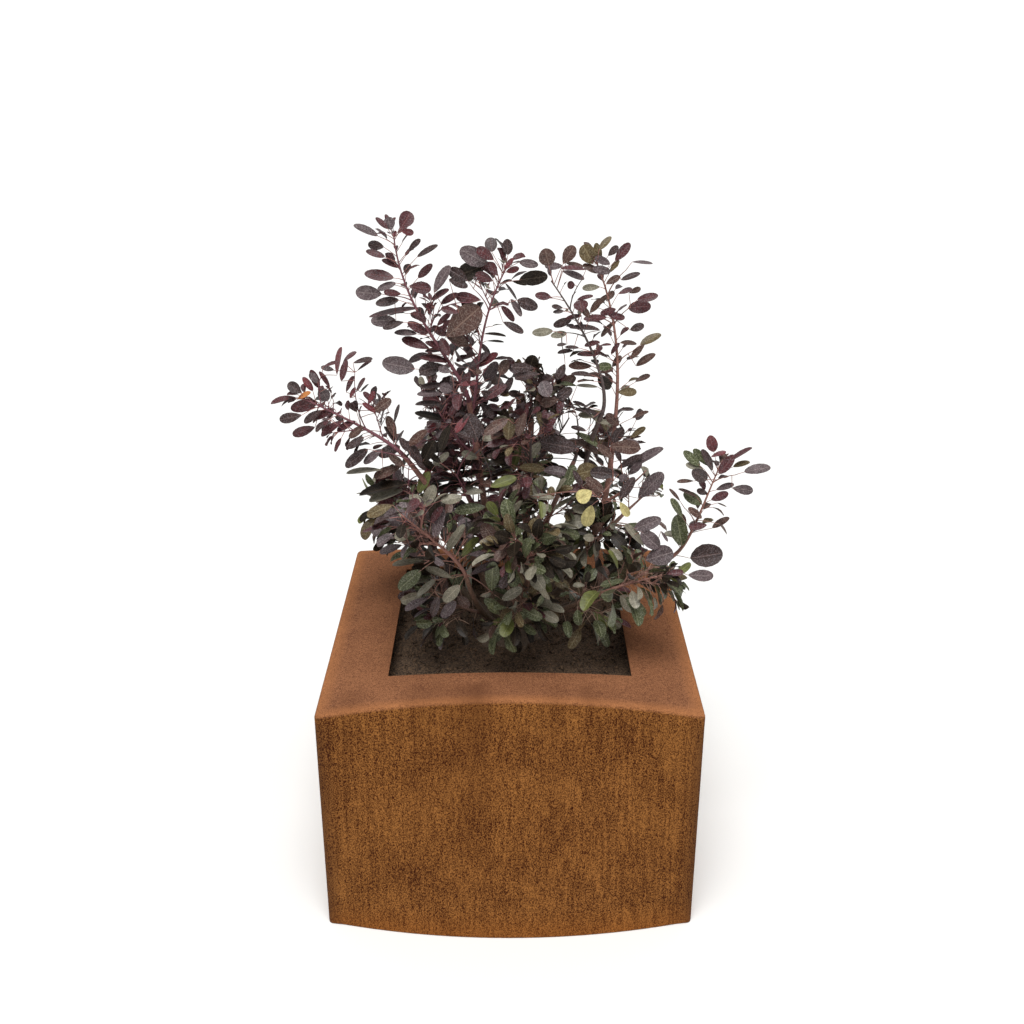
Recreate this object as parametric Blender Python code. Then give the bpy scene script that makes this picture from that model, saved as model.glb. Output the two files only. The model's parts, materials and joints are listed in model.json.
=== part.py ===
"""Purple smoke bush growing in a square planter of weathering steel.

Metres, +Z up, -Y is the front. The origin is the middle of the planter's flat underside.
The shrub is a root crown on the soil, tapering stems that leave it in all directions, and
masses of foliage. Each mass goes on from the tip of its stem, or leaves a stem's side, and
keeps to the space that is nearer to its own axis than to any other.
"""
import math
import random

import bmesh
import bpy
import numpy as np
from mathutils import Quaternion, Vector
from mathutils.bvhtree import BVHTree

GAP = 0.0003                  # clearance between pieces that touch
MERGE = 0.00001               # points nearer than this are one after a union
FLAT = math.radians(0.05)     # faces within this angle are one flat face after a union

# Planter: folded sheet, plan 600 x 600, 400 high
WIDTH = 0.600
HEIGHT = 0.400
SHEET = 0.003
OPENING = 0.390               # side of the square opening inside the wide rim
FOOT_BOW = 0.036              # front and back walls swell out this much at the foot
RIM_BOW = -0.020              # and are drawn in this much at the rim
RIM_CROWN = 0.016             # the rim rises this much from its two sides to its middle
CORNER_RADIUS = 0.010
SHARPEST_CORNER = 0.001
FOLD_RADIUS = 0.006           # rounding of the fold between wall and rim
WALL_COLUMNS = 8
WALL_LEVELS = (0.0, 0.33, 0.67)
CORNER_STEPS = 2
FOLD_STEPS = 1

# Soil
SOIL_LEVEL = 0.370
SOIL_CLEARANCE = 0.0020       # shrinkage gap to the planter's walls

# Root crown: (height over the soil, radius)
CROWN_PROFILE = ((0.0, 0.056), (0.007, 0.049), (0.018, 0.039), (0.032, 0.029), (0.042, 0.018))
CROWN_SIDES = 15
CROWN_LOBES = 5
CROWN_LOBE_DEPTH = 0.14
STUB_HEIGHT = 0.046           # height of the stems' feet over the soil
STUB_LENGTH = 0.036
STUB_SIDES = 5
STUB_TAPER = (1.25, 1.02)     # radius of a stub at its two ends, in radii of its stem's foot
STUB_SPREAD = (0.011, 0.045)  # radius of the ring of feet: upright stems, flat stems

STEM_SIDES = 6
STEM_STEPS = 6
MASS_STEM_SIDES = 4
MASS_STEM_STEPS = 5
TWIG_SIDES = 3
STEM_HANDLE = 0.45            # reach of a limb's first bend, as a share of its length
MASS_HANDLE = 0.40
FOOT_SEARCH = 4.0             # a side shoot's foot is slid in from this many radii of the limb
FOOT_HALVINGS = 18

# Stems from the root crown: name, azimuth and rise at the foot (degrees),
# tip (x, y, z), radius at foot and tip
STEMS = (
    ("stem_tall_left", 148, 80, (-0.066, 0.015, 0.800), 0.0072, 0.0044),
    ("stem_tall_right", 12, 30, (0.172, 0.045, 0.700), 0.0072, 0.0044),
    ("stem_centre", 5, 84, (0.035, 0.020, 0.770), 0.0072, 0.0044),
    ("stem_left", 190, 74, (-0.169, -0.060, 0.735), 0.0064, 0.0040),
    ("stem_front_left", 238, 35, (-0.070, -0.125, 0.552), 0.0060, 0.0038),
    ("stem_right", 352, 20, (0.273, -0.035, 0.545), 0.0062, 0.0038),
    ("stem_front", 285, 52, (0.035, -0.130, 0.575), 0.0060, 0.0038),
    ("stem_front_right", 318, 32, (0.150, -0.120, 0.520), 0.0058, 0.0036),
    ("stem_back_left", 112, 60, (-0.110, 0.150, 0.660), 0.0064, 0.0040),
    ("stem_back_right", 62, 58, (0.115, 0.160, 0.640), 0.0064, 0.0040),
    ("stem_back", 88, 36, (0.000, 0.200, 0.530), 0.0058, 0.0036),
    ("stem_left_low", 165, 32, (-0.140, 0.070, 0.530), 0.0058, 0.0036),
    ("stem_right_back", 36, 30, (0.200, 0.140, 0.540), 0.0058, 0.0036),
)
# A stem that leaves the side of another: name, parent, share of the parent's length,
# azimuth and rise at the fork, tip, radius at fork and tip
FORKED_STEMS = (
    ("stem_right_inner", "stem_tall_right", 0.62, 205, 62, (0.149, -0.015, 0.790), 0.0048, 0.0036),
)
# Masses that go on from a stem's tip: name, stem, tip, reach round the axis, leaves
TIP_MASSES = (
    ("leaves_top_left", "stem_tall_left", (-0.172, 0.000, 1.055), 0.080, 24),
    ("leaves_top_right", "stem_tall_right", (0.135, 0.050, 1.020), 0.074, 23),
    ("leaves_inner_right", "stem_right_inner", (0.058, -0.020, 1.000), 0.066, 20),
    ("leaves_centre_top", "stem_centre", (0.030, 0.000, 0.870), 0.095, 18),
    ("leaves_left", "stem_left", (-0.315, -0.060, 0.815), 0.078, 21),
    ("leaves_front_left", "stem_front_left", (-0.160, -0.225, 0.680), 0.088, 20),
    ("leaves_far_right", "stem_right", (0.346, -0.040, 0.725), 0.086, 18),
    ("leaves_front", "stem_front", (0.010, -0.190, 0.645), 0.095, 18),
    ("leaves_front_right", "stem_front_right", (0.235, -0.160, 0.570), 0.088, 17),
    ("leaves_back_left", "stem_back_left", (-0.150, 0.210, 0.775), 0.095, 18),
    ("leaves_back_right", "stem_back_right", (0.125, 0.205, 0.735), 0.095, 18),
    ("leaves_back", "stem_back", (0.000, 0.290, 0.610), 0.095, 16),
    ("leaves_left_low", "stem_left_low", (-0.215, 0.105, 0.600), 0.090, 15),
    ("leaves_right_back", "stem_right_back", (0.265, 0.190, 0.600), 0.090, 15),
)
# Masses that leave a stem's side: name, stem, share of the stem's length,
# azimuth, rise, length, reach, leaves
SIDE_MASSES = (
    ("leaves_top_middle", "stem_tall_left", 0.94, 20, 74, 0.200, 0.080, 20),
    ("leaves_shoulder_left", "stem_tall_left", 0.76, 212, 42, 0.120, 0.080, 13),
    ("leaves_mid_left", "stem_tall_left", 0.50, 238, 38, 0.140, 0.090, 14),
    ("leaves_behind_left", "stem_tall_left", 0.60, 118, 48, 0.140, 0.090, 13),
    ("leaves_mid_front", "stem_centre", 0.72, 272, 46, 0.140, 0.090, 14),
    ("leaves_mid_right", "stem_centre", 0.78, 340, 44, 0.120, 0.085, 10),
    ("leaves_low_centre", "stem_centre", 0.44, 308, 34, 0.140, 0.090, 14),
    ("leaves_behind_centre", "stem_centre", 0.62, 82, 46, 0.140, 0.090, 13),
    ("leaves_outer_right", "stem_tall_right", 0.78, 338, 30, 0.105, 0.078, 12),
    ("leaves_low_right", "stem_tall_right", 0.50, 285, 32, 0.120, 0.085, 12),
    ("leaves_behind_right", "stem_tall_right", 0.84, 78, 42, 0.120, 0.085, 13),
    ("leaves_arm_left", "stem_left", 0.60, 205, 28, 0.105, 0.078, 11),
    ("leaves_foot_left", "stem_front_left", 0.40, 192, 14, 0.115, 0.080, 11),
    ("leaves_foot_front", "stem_front", 0.34, 262, 12, 0.105, 0.080, 11),
    ("leaves_foot_right", "stem_front_right", 0.42, 345, 10, 0.115, 0.080, 11),
    ("leaves_foot_back", "stem_back", 0.42, 132, 12, 0.110, 0.080, 11),
)

# Leaves. A ring is its place along the leaf and its width, in shares of length and width
LEAF_LENGTH = 0.070           # petiole and blade together
LEAF_WIDTH = 0.035
LEAF_KEEL = 0.0012            # depth of the midrib under the blade
LEAF_FOLD = 0.0026            # how far the blade's edges stand up
LEAF_DROOP = 0.10
LEAF_RINGS = ((0.44, 0.88), (0.80, 0.92))
LEAF_SIZES = (0.82, 1.06)     # least and greatest size
ROLL = math.radians(55)       # leaves turn either way round their midribs by up to this
LIFT = Vector((0, 0, 0.05))   # leaves bend upwards by this
SKYWARD = Vector((0, 0, 0.9))    # and turn their faces to the sky by this
EDGE_ON = 0.95                # cosine between face and midrib past which the face is reset

# How a mass branches: places as shares of the stem or twig, spreads in degrees
MASS_TIP_RADIUS = 0.0024
TIP_FIT = 0.95                # foot of a mass that goes on from a stem's tip, in tip radii
SIDE_FIT = 0.70               # foot of a mass on a stem's side, in radii of the stem there
UPTURN = 0.25                 # share of its length by which a side mass turns upwards
TERMINAL_LEAF = (0.985, 6)
TWIG_PLACES = (0.22, 0.84)
TWIG_RADIUS = (0.0026, 0.0021)
TWIG_REACH = (0.74, 0.36)     # in reaches of the mass: at its foot, and the loss to its tip
TWIG_LEAVES = ((0.62, 62), (0.78, 62), (0.92, 55), (0.94, 15))
STEM_LEAF_PLACES = (0.12, 0.97)
STEM_LEAF_SPREADS = (80, 50)
LEAVES_A_TWIG = 4
ATTEMPTS = 4                  # turns tried for a leaf or twig before it is skipped
STEM_LEAF_TRIES = 50
GOLDEN_ANGLE = math.radians(137.5)
GOLDEN_SHARE = 0.618

# Space of a mass
SPACE_MARGIN = 0.030          # unused share of the reach between two masses
OUTER_LIMIT = 1.22            # furthest point of a leaf from its axis, in reaches
STEM_CLEARANCE = 0.0020
LOWEST_LEAF = HEIGHT + RIM_CROWN + 0.004
SEED = 20


def material(name, colour, roughness, metallic=0.0):
    """Return the named Principled material, made once."""
    found = bpy.data.materials.get(name)
    if found:
        return found
    mat = bpy.data.materials.new(name)
    mat.use_nodes = True
    shader = mat.node_tree.nodes["Principled BSDF"]
    shader.inputs["Base Color"].default_value = (*colour, 1.0)
    shader.inputs["Roughness"].default_value = roughness
    shader.inputs["Metallic"].default_value = metallic
    return mat


def weathering_steel():
    return material("weathering_steel", (0.22, 0.075, 0.022), 0.85, 0.25)


def potting_soil():
    return material("potting_soil", (0.030, 0.019, 0.012), 1.0)


def bark():
    return material("bark", (0.13, 0.062, 0.045), 0.8)


def purple_foliage():
    return material("purple_foliage", (0.075, 0.028, 0.036), 0.6)


def clear_scene():
    for obj in list(bpy.data.objects):
        bpy.data.objects.remove(obj, do_unlink=True)


def add_object(name, verts, faces, mat=None):
    mesh = bpy.data.meshes.new(name)
    mesh.from_pydata([tuple(v) for v in verts], [], faces)
    obj = bpy.data.objects.new(name, mesh)
    bpy.context.collection.objects.link(obj)
    if mat:
        mesh.materials.append(mat)
    return obj


# Planter and soil

def wall_bow(height):
    """Bow of the front and back walls at a height, straight from foot to rim."""
    return FOOT_BOW + (RIM_BOW - FOOT_BOW) * height / HEIGHT


def crowned(x, y, height):
    """A point of the shell, lifted by the crown in proportion to its height."""
    lift = 1 + RIM_CROWN / HEIGHT * (1 - (2 * x / WIDTH) ** 2)
    return Vector((x, y, height * lift))


def plan_loop(height, inset, bow):
    """Outline of the planter at a height, counter-clockwise from above, front edge first."""
    half = WIDTH / 2 - inset
    radius = max(CORNER_RADIUS - inset, SHARPEST_CORNER)
    flat = half - radius
    front = []
    for i in range(WALL_COLUMNS + 1):
        x = -flat + 2 * flat * i / WALL_COLUMNS
        front.append((x, -half - bow * (1 - (x / flat) ** 2)))
    corner = []
    for i in range(1, CORNER_STEPS):
        angle = -math.pi / 2 + math.pi / 2 * i / CORNER_STEPS
        corner.append((flat + radius * math.cos(angle), -flat + radius * math.sin(angle)))
    side = [(half, -flat), (half, 0.0), (half, flat)]
    back_corner = [(-y, x) for x, y in corner]
    half_loop = front + corner + side + back_corner
    return [crowned(turn * x, turn * y, height) for turn in (1, -1) for x, y in half_loop]


def square_loop(height, half, like):
    """Square outline whose points lie on the rays of another loop's points."""
    loop = []
    for p in like:
        scale = half / max(abs(p.x), abs(p.y))
        loop.append(crowned(p.x * scale, p.y * scale, height))
    return loop


def levelled(loop, height):
    return [Vector((p.x, p.y, height)) for p in loop]


def skin_loops(loops, close_first, close_last):
    """Faces that join loops of equal count, with the end loops closed by flat faces."""
    count = len(loops[0])
    verts = [p for loop in loops for p in loop]
    faces = []
    for k in range(len(loops) - 1):
        for i in range(count):
            j = (i + 1) % count
            a, b = k * count, (k + 1) * count
            faces.append((a + i, a + j, b + j))
            faces.append((a + i, b + j, b + i))
    if close_first:
        faces.append(tuple(reversed(range(count))))
    if close_last:
        last = (len(loops) - 1) * count
        faces.append(tuple(range(last, last + count)))
    return verts, faces


def make_planter():
    """Floor, walls, rounded fold and wide flat rim, as one folded sheet."""
    loops = [plan_loop(share * HEIGHT, 0.0, wall_bow(share * HEIGHT)) for share in WALL_LEVELS]
    for k in range(FOLD_STEPS + 1):
        angle = math.pi / 2 * k / FOLD_STEPS
        inset = FOLD_RADIUS * (1 - math.cos(angle))
        height = HEIGHT - FOLD_RADIUS * (1 - math.sin(angle))
        loops.append(plan_loop(height, inset, wall_bow(height)))
    loops.append(square_loop(HEIGHT, OPENING / 2, loops[-1]))
    verts, faces = skin_loops(loops, True, False)
    obj = add_object("planter", verts, faces, weathering_steel())
    wall = obj.modifiers.new("sheet", "SOLIDIFY")
    wall.thickness = SHEET
    wall.offset = -1.0
    wall.use_even_offset = True


def make_soil():
    """Soil that fills the planter to a level just under the rim."""
    bottom = SHEET + GAP
    inset = SHEET + SOIL_CLEARANCE
    heights = [bottom] + [share * HEIGHT for share in WALL_LEVELS[1:]] + [SOIL_LEVEL]
    loops = [plan_loop(height, inset, wall_bow(height)) for height in heights]
    loops[0] = levelled(loops[0], bottom)
    loops[-1] = levelled(loops[-1], SOIL_LEVEL)
    add_object("soil", *skin_loops(loops, True, True), potting_soil())


# Curves and tubes

def direction(azimuth, rise):
    a, r = math.radians(azimuth), math.radians(rise)
    return Vector((math.cos(a) * math.cos(r), math.sin(a) * math.cos(r), math.sin(r)))


def bend(start, heading, tip, steps, handle):
    """Points and tangents of a limb that leaves start along heading and bends to its tip."""
    knee = start + heading * (tip - start).length * handle
    points, tangents = [], []
    for i in range(steps + 1):
        t = i / steps
        points.append(start * (1 - t) ** 2 + knee * 2 * t * (1 - t) + tip * t * t)
        tangents.append(((knee - start) * (1 - t) + (tip - knee) * t).normalized())
    return points, tangents


def tube(points, tangents, radii, sides):
    """Vertices and triangles of a closed tapering tube with flat ends."""
    side = tangents[0].orthogonal().normalized()
    verts, faces = [], []
    for k, (point, tangent) in enumerate(zip(points, tangents)):
        side = (side - tangent * side.dot(tangent)).normalized()
        other = tangent.cross(side)
        for i in range(sides):
            angle = 2 * math.pi * i / sides
            spoke = side * math.cos(angle) + other * math.sin(angle)
            verts.append(point + spoke * radii[k])
    for k in range(len(points) - 1):
        for i in range(sides):
            j = (i + 1) % sides
            a, b = k * sides, (k + 1) * sides
            faces.append((a + i, a + j, b + j))
            faces.append((a + i, b + j, b + i))
    faces.append(tuple(reversed(range(sides))))
    last = (len(points) - 1) * sides
    faces.append(tuple(range(last, last + sides)))
    return verts, faces


def taper(first, last, steps):
    return [first + (last - first) * i / steps for i in range(steps + 1)]


class Limb:
    """A tapering limb: where it starts, its centre line and its radii."""

    steps = STEM_STEPS
    handle = STEM_HANDLE

    def __init__(self, name, start, heading, tip, radii):
        self.name = name
        self.points, self.tangents = bend(start, heading, tip, self.steps, self.handle)
        self.radii = taper(*radii, self.steps)

    def at(self, share):
        """Point, tangent and radius at a share of the limb's length."""
        place = share * (len(self.points) - 1)
        i = min(int(place), len(self.points) - 2)
        f = place - i
        point = self.points[i].lerp(self.points[i + 1], f)
        tangent = self.tangents[i].lerp(self.tangents[i + 1], f).normalized()
        return point, tangent, self.radii[i] + (self.radii[i + 1] - self.radii[i]) * f

    def side_start(self, share, heading, radius, sides):
        """Start of a shoot on the limb's side, whose flat foot clears the limb's flats by the gap."""
        point, tangent, own = self.at(share)
        limb = BVHTree.FromPolygons(*tube(self.points, self.tangents, self.radii, STEM_SIDES))
        inside, outside = 0.0, own * FOOT_SEARCH
        for halving in range(FOOT_HALVINGS):
            middle = (inside + outside) / 2
            foot = point + heading * middle
            shoot = tube([foot, foot + heading * own], [heading, heading], [radius, radius], sides)
            if limb.overlap(BVHTree.FromPolygons(*shoot)):
                inside = middle
            else:
                outside = middle
        return point + heading * (outside + GAP / math.sin(heading.angle(tangent)))


def stem_foot(azimuth, rise):
    """Place of a stem's foot on the root crown: upright stems stand nearer to the middle."""
    near, far = STUB_SPREAD
    radius = near + (far - near) * math.cos(math.radians(rise))
    a = math.radians(azimuth)
    return Vector((radius * math.cos(a), radius * math.sin(a), SOIL_LEVEL + GAP + STUB_HEIGHT))


def plan_stems():
    stems = {}
    for name, azimuth, rise, tip, foot_radius, tip_radius in STEMS:
        heading = direction(azimuth, rise)
        start = stem_foot(azimuth, rise) + heading * GAP
        stems[name] = Limb(name, start, heading, Vector(tip), (foot_radius, tip_radius))
    for name, parent, share, azimuth, rise, tip, fork_radius, tip_radius in FORKED_STEMS:
        heading = direction(azimuth, rise)
        start = stems[parent].side_start(share, heading, fork_radius, STEM_SIDES)
        stems[name] = Limb(name, start, heading, Vector(tip), (fork_radius, tip_radius))
    return stems


def make_stem(limb):
    add_object(limb.name, *tube(limb.points, limb.tangents, limb.radii, STEM_SIDES), bark())


# Joining

def main_shell(bm):
    """The vertices of the largest connected shell."""
    left, shells = set(bm.verts), []
    while left:
        start = left.pop()
        shell, front = {start}, [start]
        while front:
            for edge in front.pop().link_edges:
                for vert in edge.verts:
                    if vert not in shell:
                        shell.add(vert)
                        left.discard(vert)
                        front.append(vert)
        shells.append(shell)
    return max(shells, key=len)


def tidied(mesh, merge):
    """A mesh's main shell in few triangles, or None where that isn't closed.

    Loose scraps and the walls of sealed hollows are dropped.
    """
    bm = bmesh.new()
    bm.from_mesh(mesh)
    if merge:
        bmesh.ops.remove_doubles(bm, verts=bm.verts, dist=merge)
        bmesh.ops.dissolve_degenerate(bm, edges=bm.edges, dist=merge)
    bmesh.ops.dissolve_limit(bm, angle_limit=FLAT, verts=bm.verts, edges=bm.edges)
    bmesh.ops.triangulate(bm, faces=bm.faces)
    main = main_shell(bm)
    bmesh.ops.delete(bm, geom=[v for v in bm.verts if v not in main], context="VERTS")
    closed = all(e.is_manifold for e in bm.edges) and all(v.is_manifold for v in bm.verts)
    clean = bpy.data.meshes.new(mesh.name)
    bm.to_mesh(clean)
    bm.free()
    return clean if closed else None


def fuse(obj, pieces):
    """Join the pieces into the object by one Boolean union, and remove them."""
    group = bpy.data.collections.new(obj.name + "_pieces")
    bpy.context.scene.collection.children.link(group)
    for piece in pieces:
        bpy.context.collection.objects.unlink(piece)
        group.objects.link(piece)
    union = obj.modifiers.new("union", "BOOLEAN")
    union.operation = "UNION"
    union.operand_type = "COLLECTION"
    union.collection = group
    result = None
    for solver, merge in (("EXACT", 0), ("EXACT", MERGE), ("MANIFOLD", 0), ("MANIFOLD", MERGE)):
        union.solver = solver
        graph = bpy.context.evaluated_depsgraph_get()
        result = tidied(bpy.data.meshes.new_from_object(obj.evaluated_get(graph)), merge)
        if result:
            break
    obj.modifiers.clear()
    materials = list(obj.data.materials)
    obj.data = result
    obj.data.materials.clear()
    for mat in materials:
        obj.data.materials.append(mat)
    for piece in pieces:
        bpy.data.objects.remove(piece, do_unlink=True)
    bpy.data.collections.remove(group)


def make_root_crown():
    """Short flared base, cut flat at the soil, with a stub for each stem."""
    ground = SOIL_LEVEL + GAP
    loops = []
    for height, radius in CROWN_PROFILE:
        lobe = CROWN_LOBE_DEPTH * (1 - height / CROWN_PROFILE[-1][0])
        loop = []
        for i in range(CROWN_SIDES):
            angle = 2 * math.pi * i / CROWN_SIDES
            r = radius * (1 + lobe * math.cos(CROWN_LOBES * angle))
            loop.append(Vector((r * math.cos(angle), r * math.sin(angle), ground + height)))
        loops.append(loop)
    obj = add_object("root_crown", *skin_loops(loops, True, True), bark())
    stubs = []
    for name, azimuth, rise, tip, radius, tip_radius in STEMS:
        heading = direction(azimuth, rise)
        end = stem_foot(azimuth, rise)
        points = [end - heading * STUB_LENGTH, end]
        radii = [radius * share for share in STUB_TAPER]
        stubs.append(add_object("stub_" + name, *tube(points, [heading, heading], radii, STUB_SIDES)))
    fuse(obj, stubs)


# Foliage

class Mass(Limb):
    """A mass of foliage: its own stem, its reach and the leaves that it may have."""

    steps = MASS_STEM_STEPS
    handle = MASS_HANDLE

    def __init__(self, name, start, heading, tip, radius, reach, leaves):
        super().__init__(name, start, heading, tip, (radius, MASS_TIP_RADIUS))
        self.reach = reach
        self.leaves = leaves


def plan_masses(stems):
    masses = []
    for name, stem, tip, reach, leaves in TIP_MASSES:
        limb = stems[stem]
        heading = limb.tangents[-1]
        start = limb.points[-1] + heading * GAP
        radius = limb.radii[-1] * TIP_FIT
        masses.append(Mass(name, start, heading, Vector(tip), radius, reach, leaves))
    for name, stem, share, azimuth, rise, length, reach, leaves in SIDE_MASSES:
        heading = direction(azimuth, rise)
        limb = stems[stem]
        radius = limb.at(share)[2] * SIDE_FIT
        start = limb.side_start(share, heading, radius, MASS_STEM_SIDES)
        tip = start + heading * length * (1 - UPTURN) + Vector((0, 0, length * UPTURN))
        masses.append(Mass(name, start, heading, tip, radius, reach, leaves))
    return masses


def line_distance(points, line):
    """Least distance of each point to a polyline, by numpy."""
    a, b = line[:-1], line[1:]
    ab = b - a
    ap = points[:, None, :] - a[None]
    share = np.clip((ap * ab).sum(-1) / (ab * ab).sum(-1), 0.0, 1.0)
    foot = a[None] + share[..., None] * ab[None]
    return np.linalg.norm(points[:, None, :] - foot, axis=-1).min(axis=1)


class Space:
    """Says whether points lie in a mass's own space and clear of every stem."""

    def __init__(self, stems, masses):
        self.axes = {m.name: (np.array(m.points), m.reach) for m in masses}
        self.stems = [(np.array(s.points), max(s.radii)) for s in stems.values()]

    def allows(self, name, points):
        points = np.array([tuple(p) for p in points])
        if points[:, 2].min() < LOWEST_LEAF:
            return False
        axis, reach = self.axes[name]
        own = line_distance(points, axis) / reach
        if own.max() > OUTER_LIMIT:
            return False
        for other, (line, width) in self.axes.items():
            if other != name and (line_distance(points, line) / width < own + SPACE_MARGIN).any():
                return False
        for line, radius in self.stems:
            if line_distance(points, line).min() < radius + STEM_CLEARANCE:
                return False
        return True


def leaf_shape(root, heading, facing, length, width):
    """Vertices and 12 triangles of one leaf: petiole, widening blade, pointed end."""
    side = heading.cross(facing).normalized()
    up = side.cross(heading).normalized()
    verts = [root]
    for share, reach in LEAF_RINGS:
        middle = root + heading * length * share - up * length * LEAF_DROOP * share * share
        half = side * reach * width / 2
        verts += [middle - half + up * LEAF_FOLD, middle + half + up * LEAF_FOLD,
                  middle - up * LEAF_KEEL]
    verts.append(root + heading * length - up * length * LEAF_DROOP)
    faces = [(1, 2, 5), (1, 5, 4), (2, 3, 6), (2, 6, 5), (3, 1, 4), (3, 4, 6)]
    faces += [(0, 2, 1), (0, 3, 2), (0, 1, 3), (4, 5, 7), (5, 6, 7), (6, 4, 7)]
    return verts, faces


def leaf_samples(verts):
    """The blade's corners and the middles of its long edges, for the space test."""
    pairs = ((1, 4), (2, 5), (1, 2), (4, 5), (4, 7), (5, 7), (0, 1), (0, 2))
    return verts[1:] + [(verts[a] + verts[b]) / 2 for a, b in pairs]


def spoke_at(tangent, angle):
    return Quaternion(tangent, angle) @ tangent.orthogonal().normalized()


class Grower:
    """Grows one mass by a seeded rule: twigs round its stem, leaves round each."""

    def __init__(self, mass, space):
        self.mass = mass
        self.space = space
        self.rng = random.Random(SEED + sum(ord(c) for c in mass.name))
        stem = tube(mass.points, mass.tangents, mass.radii, MASS_STEM_SIDES)
        self.shapes = [stem]
        self.trees = [BVHTree.FromPolygons(*stem)]
        self.leaves = 0
        self.turn = self.rng.uniform(0, 2 * math.pi)

    def add(self, shape, samples, carrier):
        """Keep a shape that has room and touches none but the one it grows from."""
        tree = BVHTree.FromPolygons(*shape)
        for i, other in enumerate(self.trees):
            if i != carrier and tree.overlap(other):
                return False
        if not self.space.allows(self.mass.name, samples):
            return False
        self.shapes.append(shape)
        self.trees.append(tree)
        return True

    def leaf(self, root, tangent, spread, size, carrier):
        """Place a leaf at root, leaning from the tangent by spread degrees, where it has room."""
        lean = math.radians(spread)
        for attempt in range(ATTEMPTS):
            self.turn += GOLDEN_ANGLE
            spoke = spoke_at(tangent, self.turn)
            heading = (tangent * math.cos(lean) + spoke * math.sin(lean) + LIFT).normalized()
            facing = tangent * math.sin(lean) - spoke * math.cos(lean) + SKYWARD
            if abs(facing.normalized().dot(heading)) > EDGE_ON:
                facing = -spoke
            facing = Quaternion(heading, self.rng.uniform(-ROLL, ROLL)) @ facing
            shape = leaf_shape(root, heading, facing, LEAF_LENGTH * size, LEAF_WIDTH * size)
            if self.add(shape, leaf_samples(shape[0]), carrier):
                self.leaves += 1
                return

    def twig(self, share):
        """Place a side twig, with leaves along it and one at its tip, where it has room."""
        root, tangent = self.mass.at(share)[:2]
        reach = self.mass.reach * (TWIG_REACH[0] - TWIG_REACH[1] * share)
        for attempt in range(ATTEMPTS):
            self.turn += GOLDEN_ANGLE
            heading = (tangent + spoke_at(tangent, self.turn)).normalized()
            tip = root + heading * reach
            shape = tube([root, tip], [heading, heading], TWIG_RADIUS, TWIG_SIDES)
            if self.add(shape, [root.lerp(tip, 0.5), tip], 0):
                carrier = len(self.shapes) - 1
                for along, spread in TWIG_LEAVES:
                    place = root.lerp(tip, along)
                    self.leaf(place, heading, spread, self.rng.uniform(*LEAF_SIZES), carrier)
                return

    def grow(self):
        """Fill the mass: the terminal leaf, then twigs, then leaves on the stem itself."""
        share, spread = TERMINAL_LEAF
        self.leaf(*self.mass.at(share)[:2], spread, 1.0, 0)
        twigs = self.mass.leaves // LEAVES_A_TWIG
        for share in taper(*TWIG_PLACES, twigs - 1):
            if self.leaves < self.mass.leaves - LEAVES_A_TWIG:
                self.twig(share)
        low, high = STEM_LEAF_PLACES
        wide, narrow = STEM_LEAF_SPREADS
        for i in range(STEM_LEAF_TRIES):
            if self.leaves < self.mass.leaves:
                share = high - (high - low) * (i * GOLDEN_SHARE % 1.0)
                spread = wide + (narrow - wide) * share
                size = self.rng.uniform(*LEAF_SIZES)
                self.leaf(*self.mass.at(share)[:2], spread, size, 0)
        return self.shapes


def make_mass(mass, space):
    stem, *others = Grower(mass, space).grow()
    obj = add_object(mass.name, *stem, purple_foliage())
    fuse(obj, [add_object("piece", *shape) for shape in others])


def main():
    clear_scene()
    make_planter()
    make_soil()
    make_root_crown()
    stems = plan_stems()
    for limb in stems.values():
        make_stem(limb)
    masses = plan_masses(stems)
    space = Space(stems, masses)
    for mass in masses:
        make_mass(mass, space)


main()
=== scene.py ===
"""Looks of a purple smoke bush growing in a square planter of weathering steel.

Metres, +Z up, -Y is the front. The origin is the middle of the planter's flat underside.
The planter, the soil's top, the root crown and the stems are modelled pieces. The foliage is
grown by a seeded rule from the same limbs as the frame's masses, each mass in its own space,
and is gathered into joined meshes, one for each kind of leaf, twig and petiole.
"""
import json
import logging
import math
import random
from collections.abc import Callable, Iterator
from contextlib import contextmanager
from dataclasses import dataclass, field
from enum import Enum
from typing import Any

import bmesh
import bpy
import numpy as np
from mathutils import Euler, Matrix, Quaternion, Vector, noise
from mathutils.bvhtree import BVHTree

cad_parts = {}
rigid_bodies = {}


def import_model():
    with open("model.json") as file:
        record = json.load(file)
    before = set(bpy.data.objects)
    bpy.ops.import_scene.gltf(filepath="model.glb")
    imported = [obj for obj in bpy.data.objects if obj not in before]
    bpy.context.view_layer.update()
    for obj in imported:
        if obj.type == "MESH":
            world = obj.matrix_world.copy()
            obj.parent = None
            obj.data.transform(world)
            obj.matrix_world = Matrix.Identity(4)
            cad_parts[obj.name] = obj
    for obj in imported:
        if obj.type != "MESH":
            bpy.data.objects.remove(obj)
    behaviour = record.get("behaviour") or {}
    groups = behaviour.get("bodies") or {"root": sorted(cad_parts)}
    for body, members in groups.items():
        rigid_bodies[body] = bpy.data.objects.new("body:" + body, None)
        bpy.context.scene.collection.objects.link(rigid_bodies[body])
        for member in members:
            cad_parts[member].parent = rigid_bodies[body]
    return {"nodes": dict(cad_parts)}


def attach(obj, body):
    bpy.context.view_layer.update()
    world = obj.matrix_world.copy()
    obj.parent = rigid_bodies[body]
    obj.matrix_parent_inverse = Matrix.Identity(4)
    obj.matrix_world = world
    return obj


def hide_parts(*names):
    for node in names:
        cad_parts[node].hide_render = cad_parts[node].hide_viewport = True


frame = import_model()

LOG = logging.getLogger("potted_smoke_bush")
MM = 0.001
BODY = "root"
UP = Vector((0, 0, 1))
GOLDEN = math.radians(137.5)     # between each leaf or scar and the next
Pair = tuple[float, float]


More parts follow.
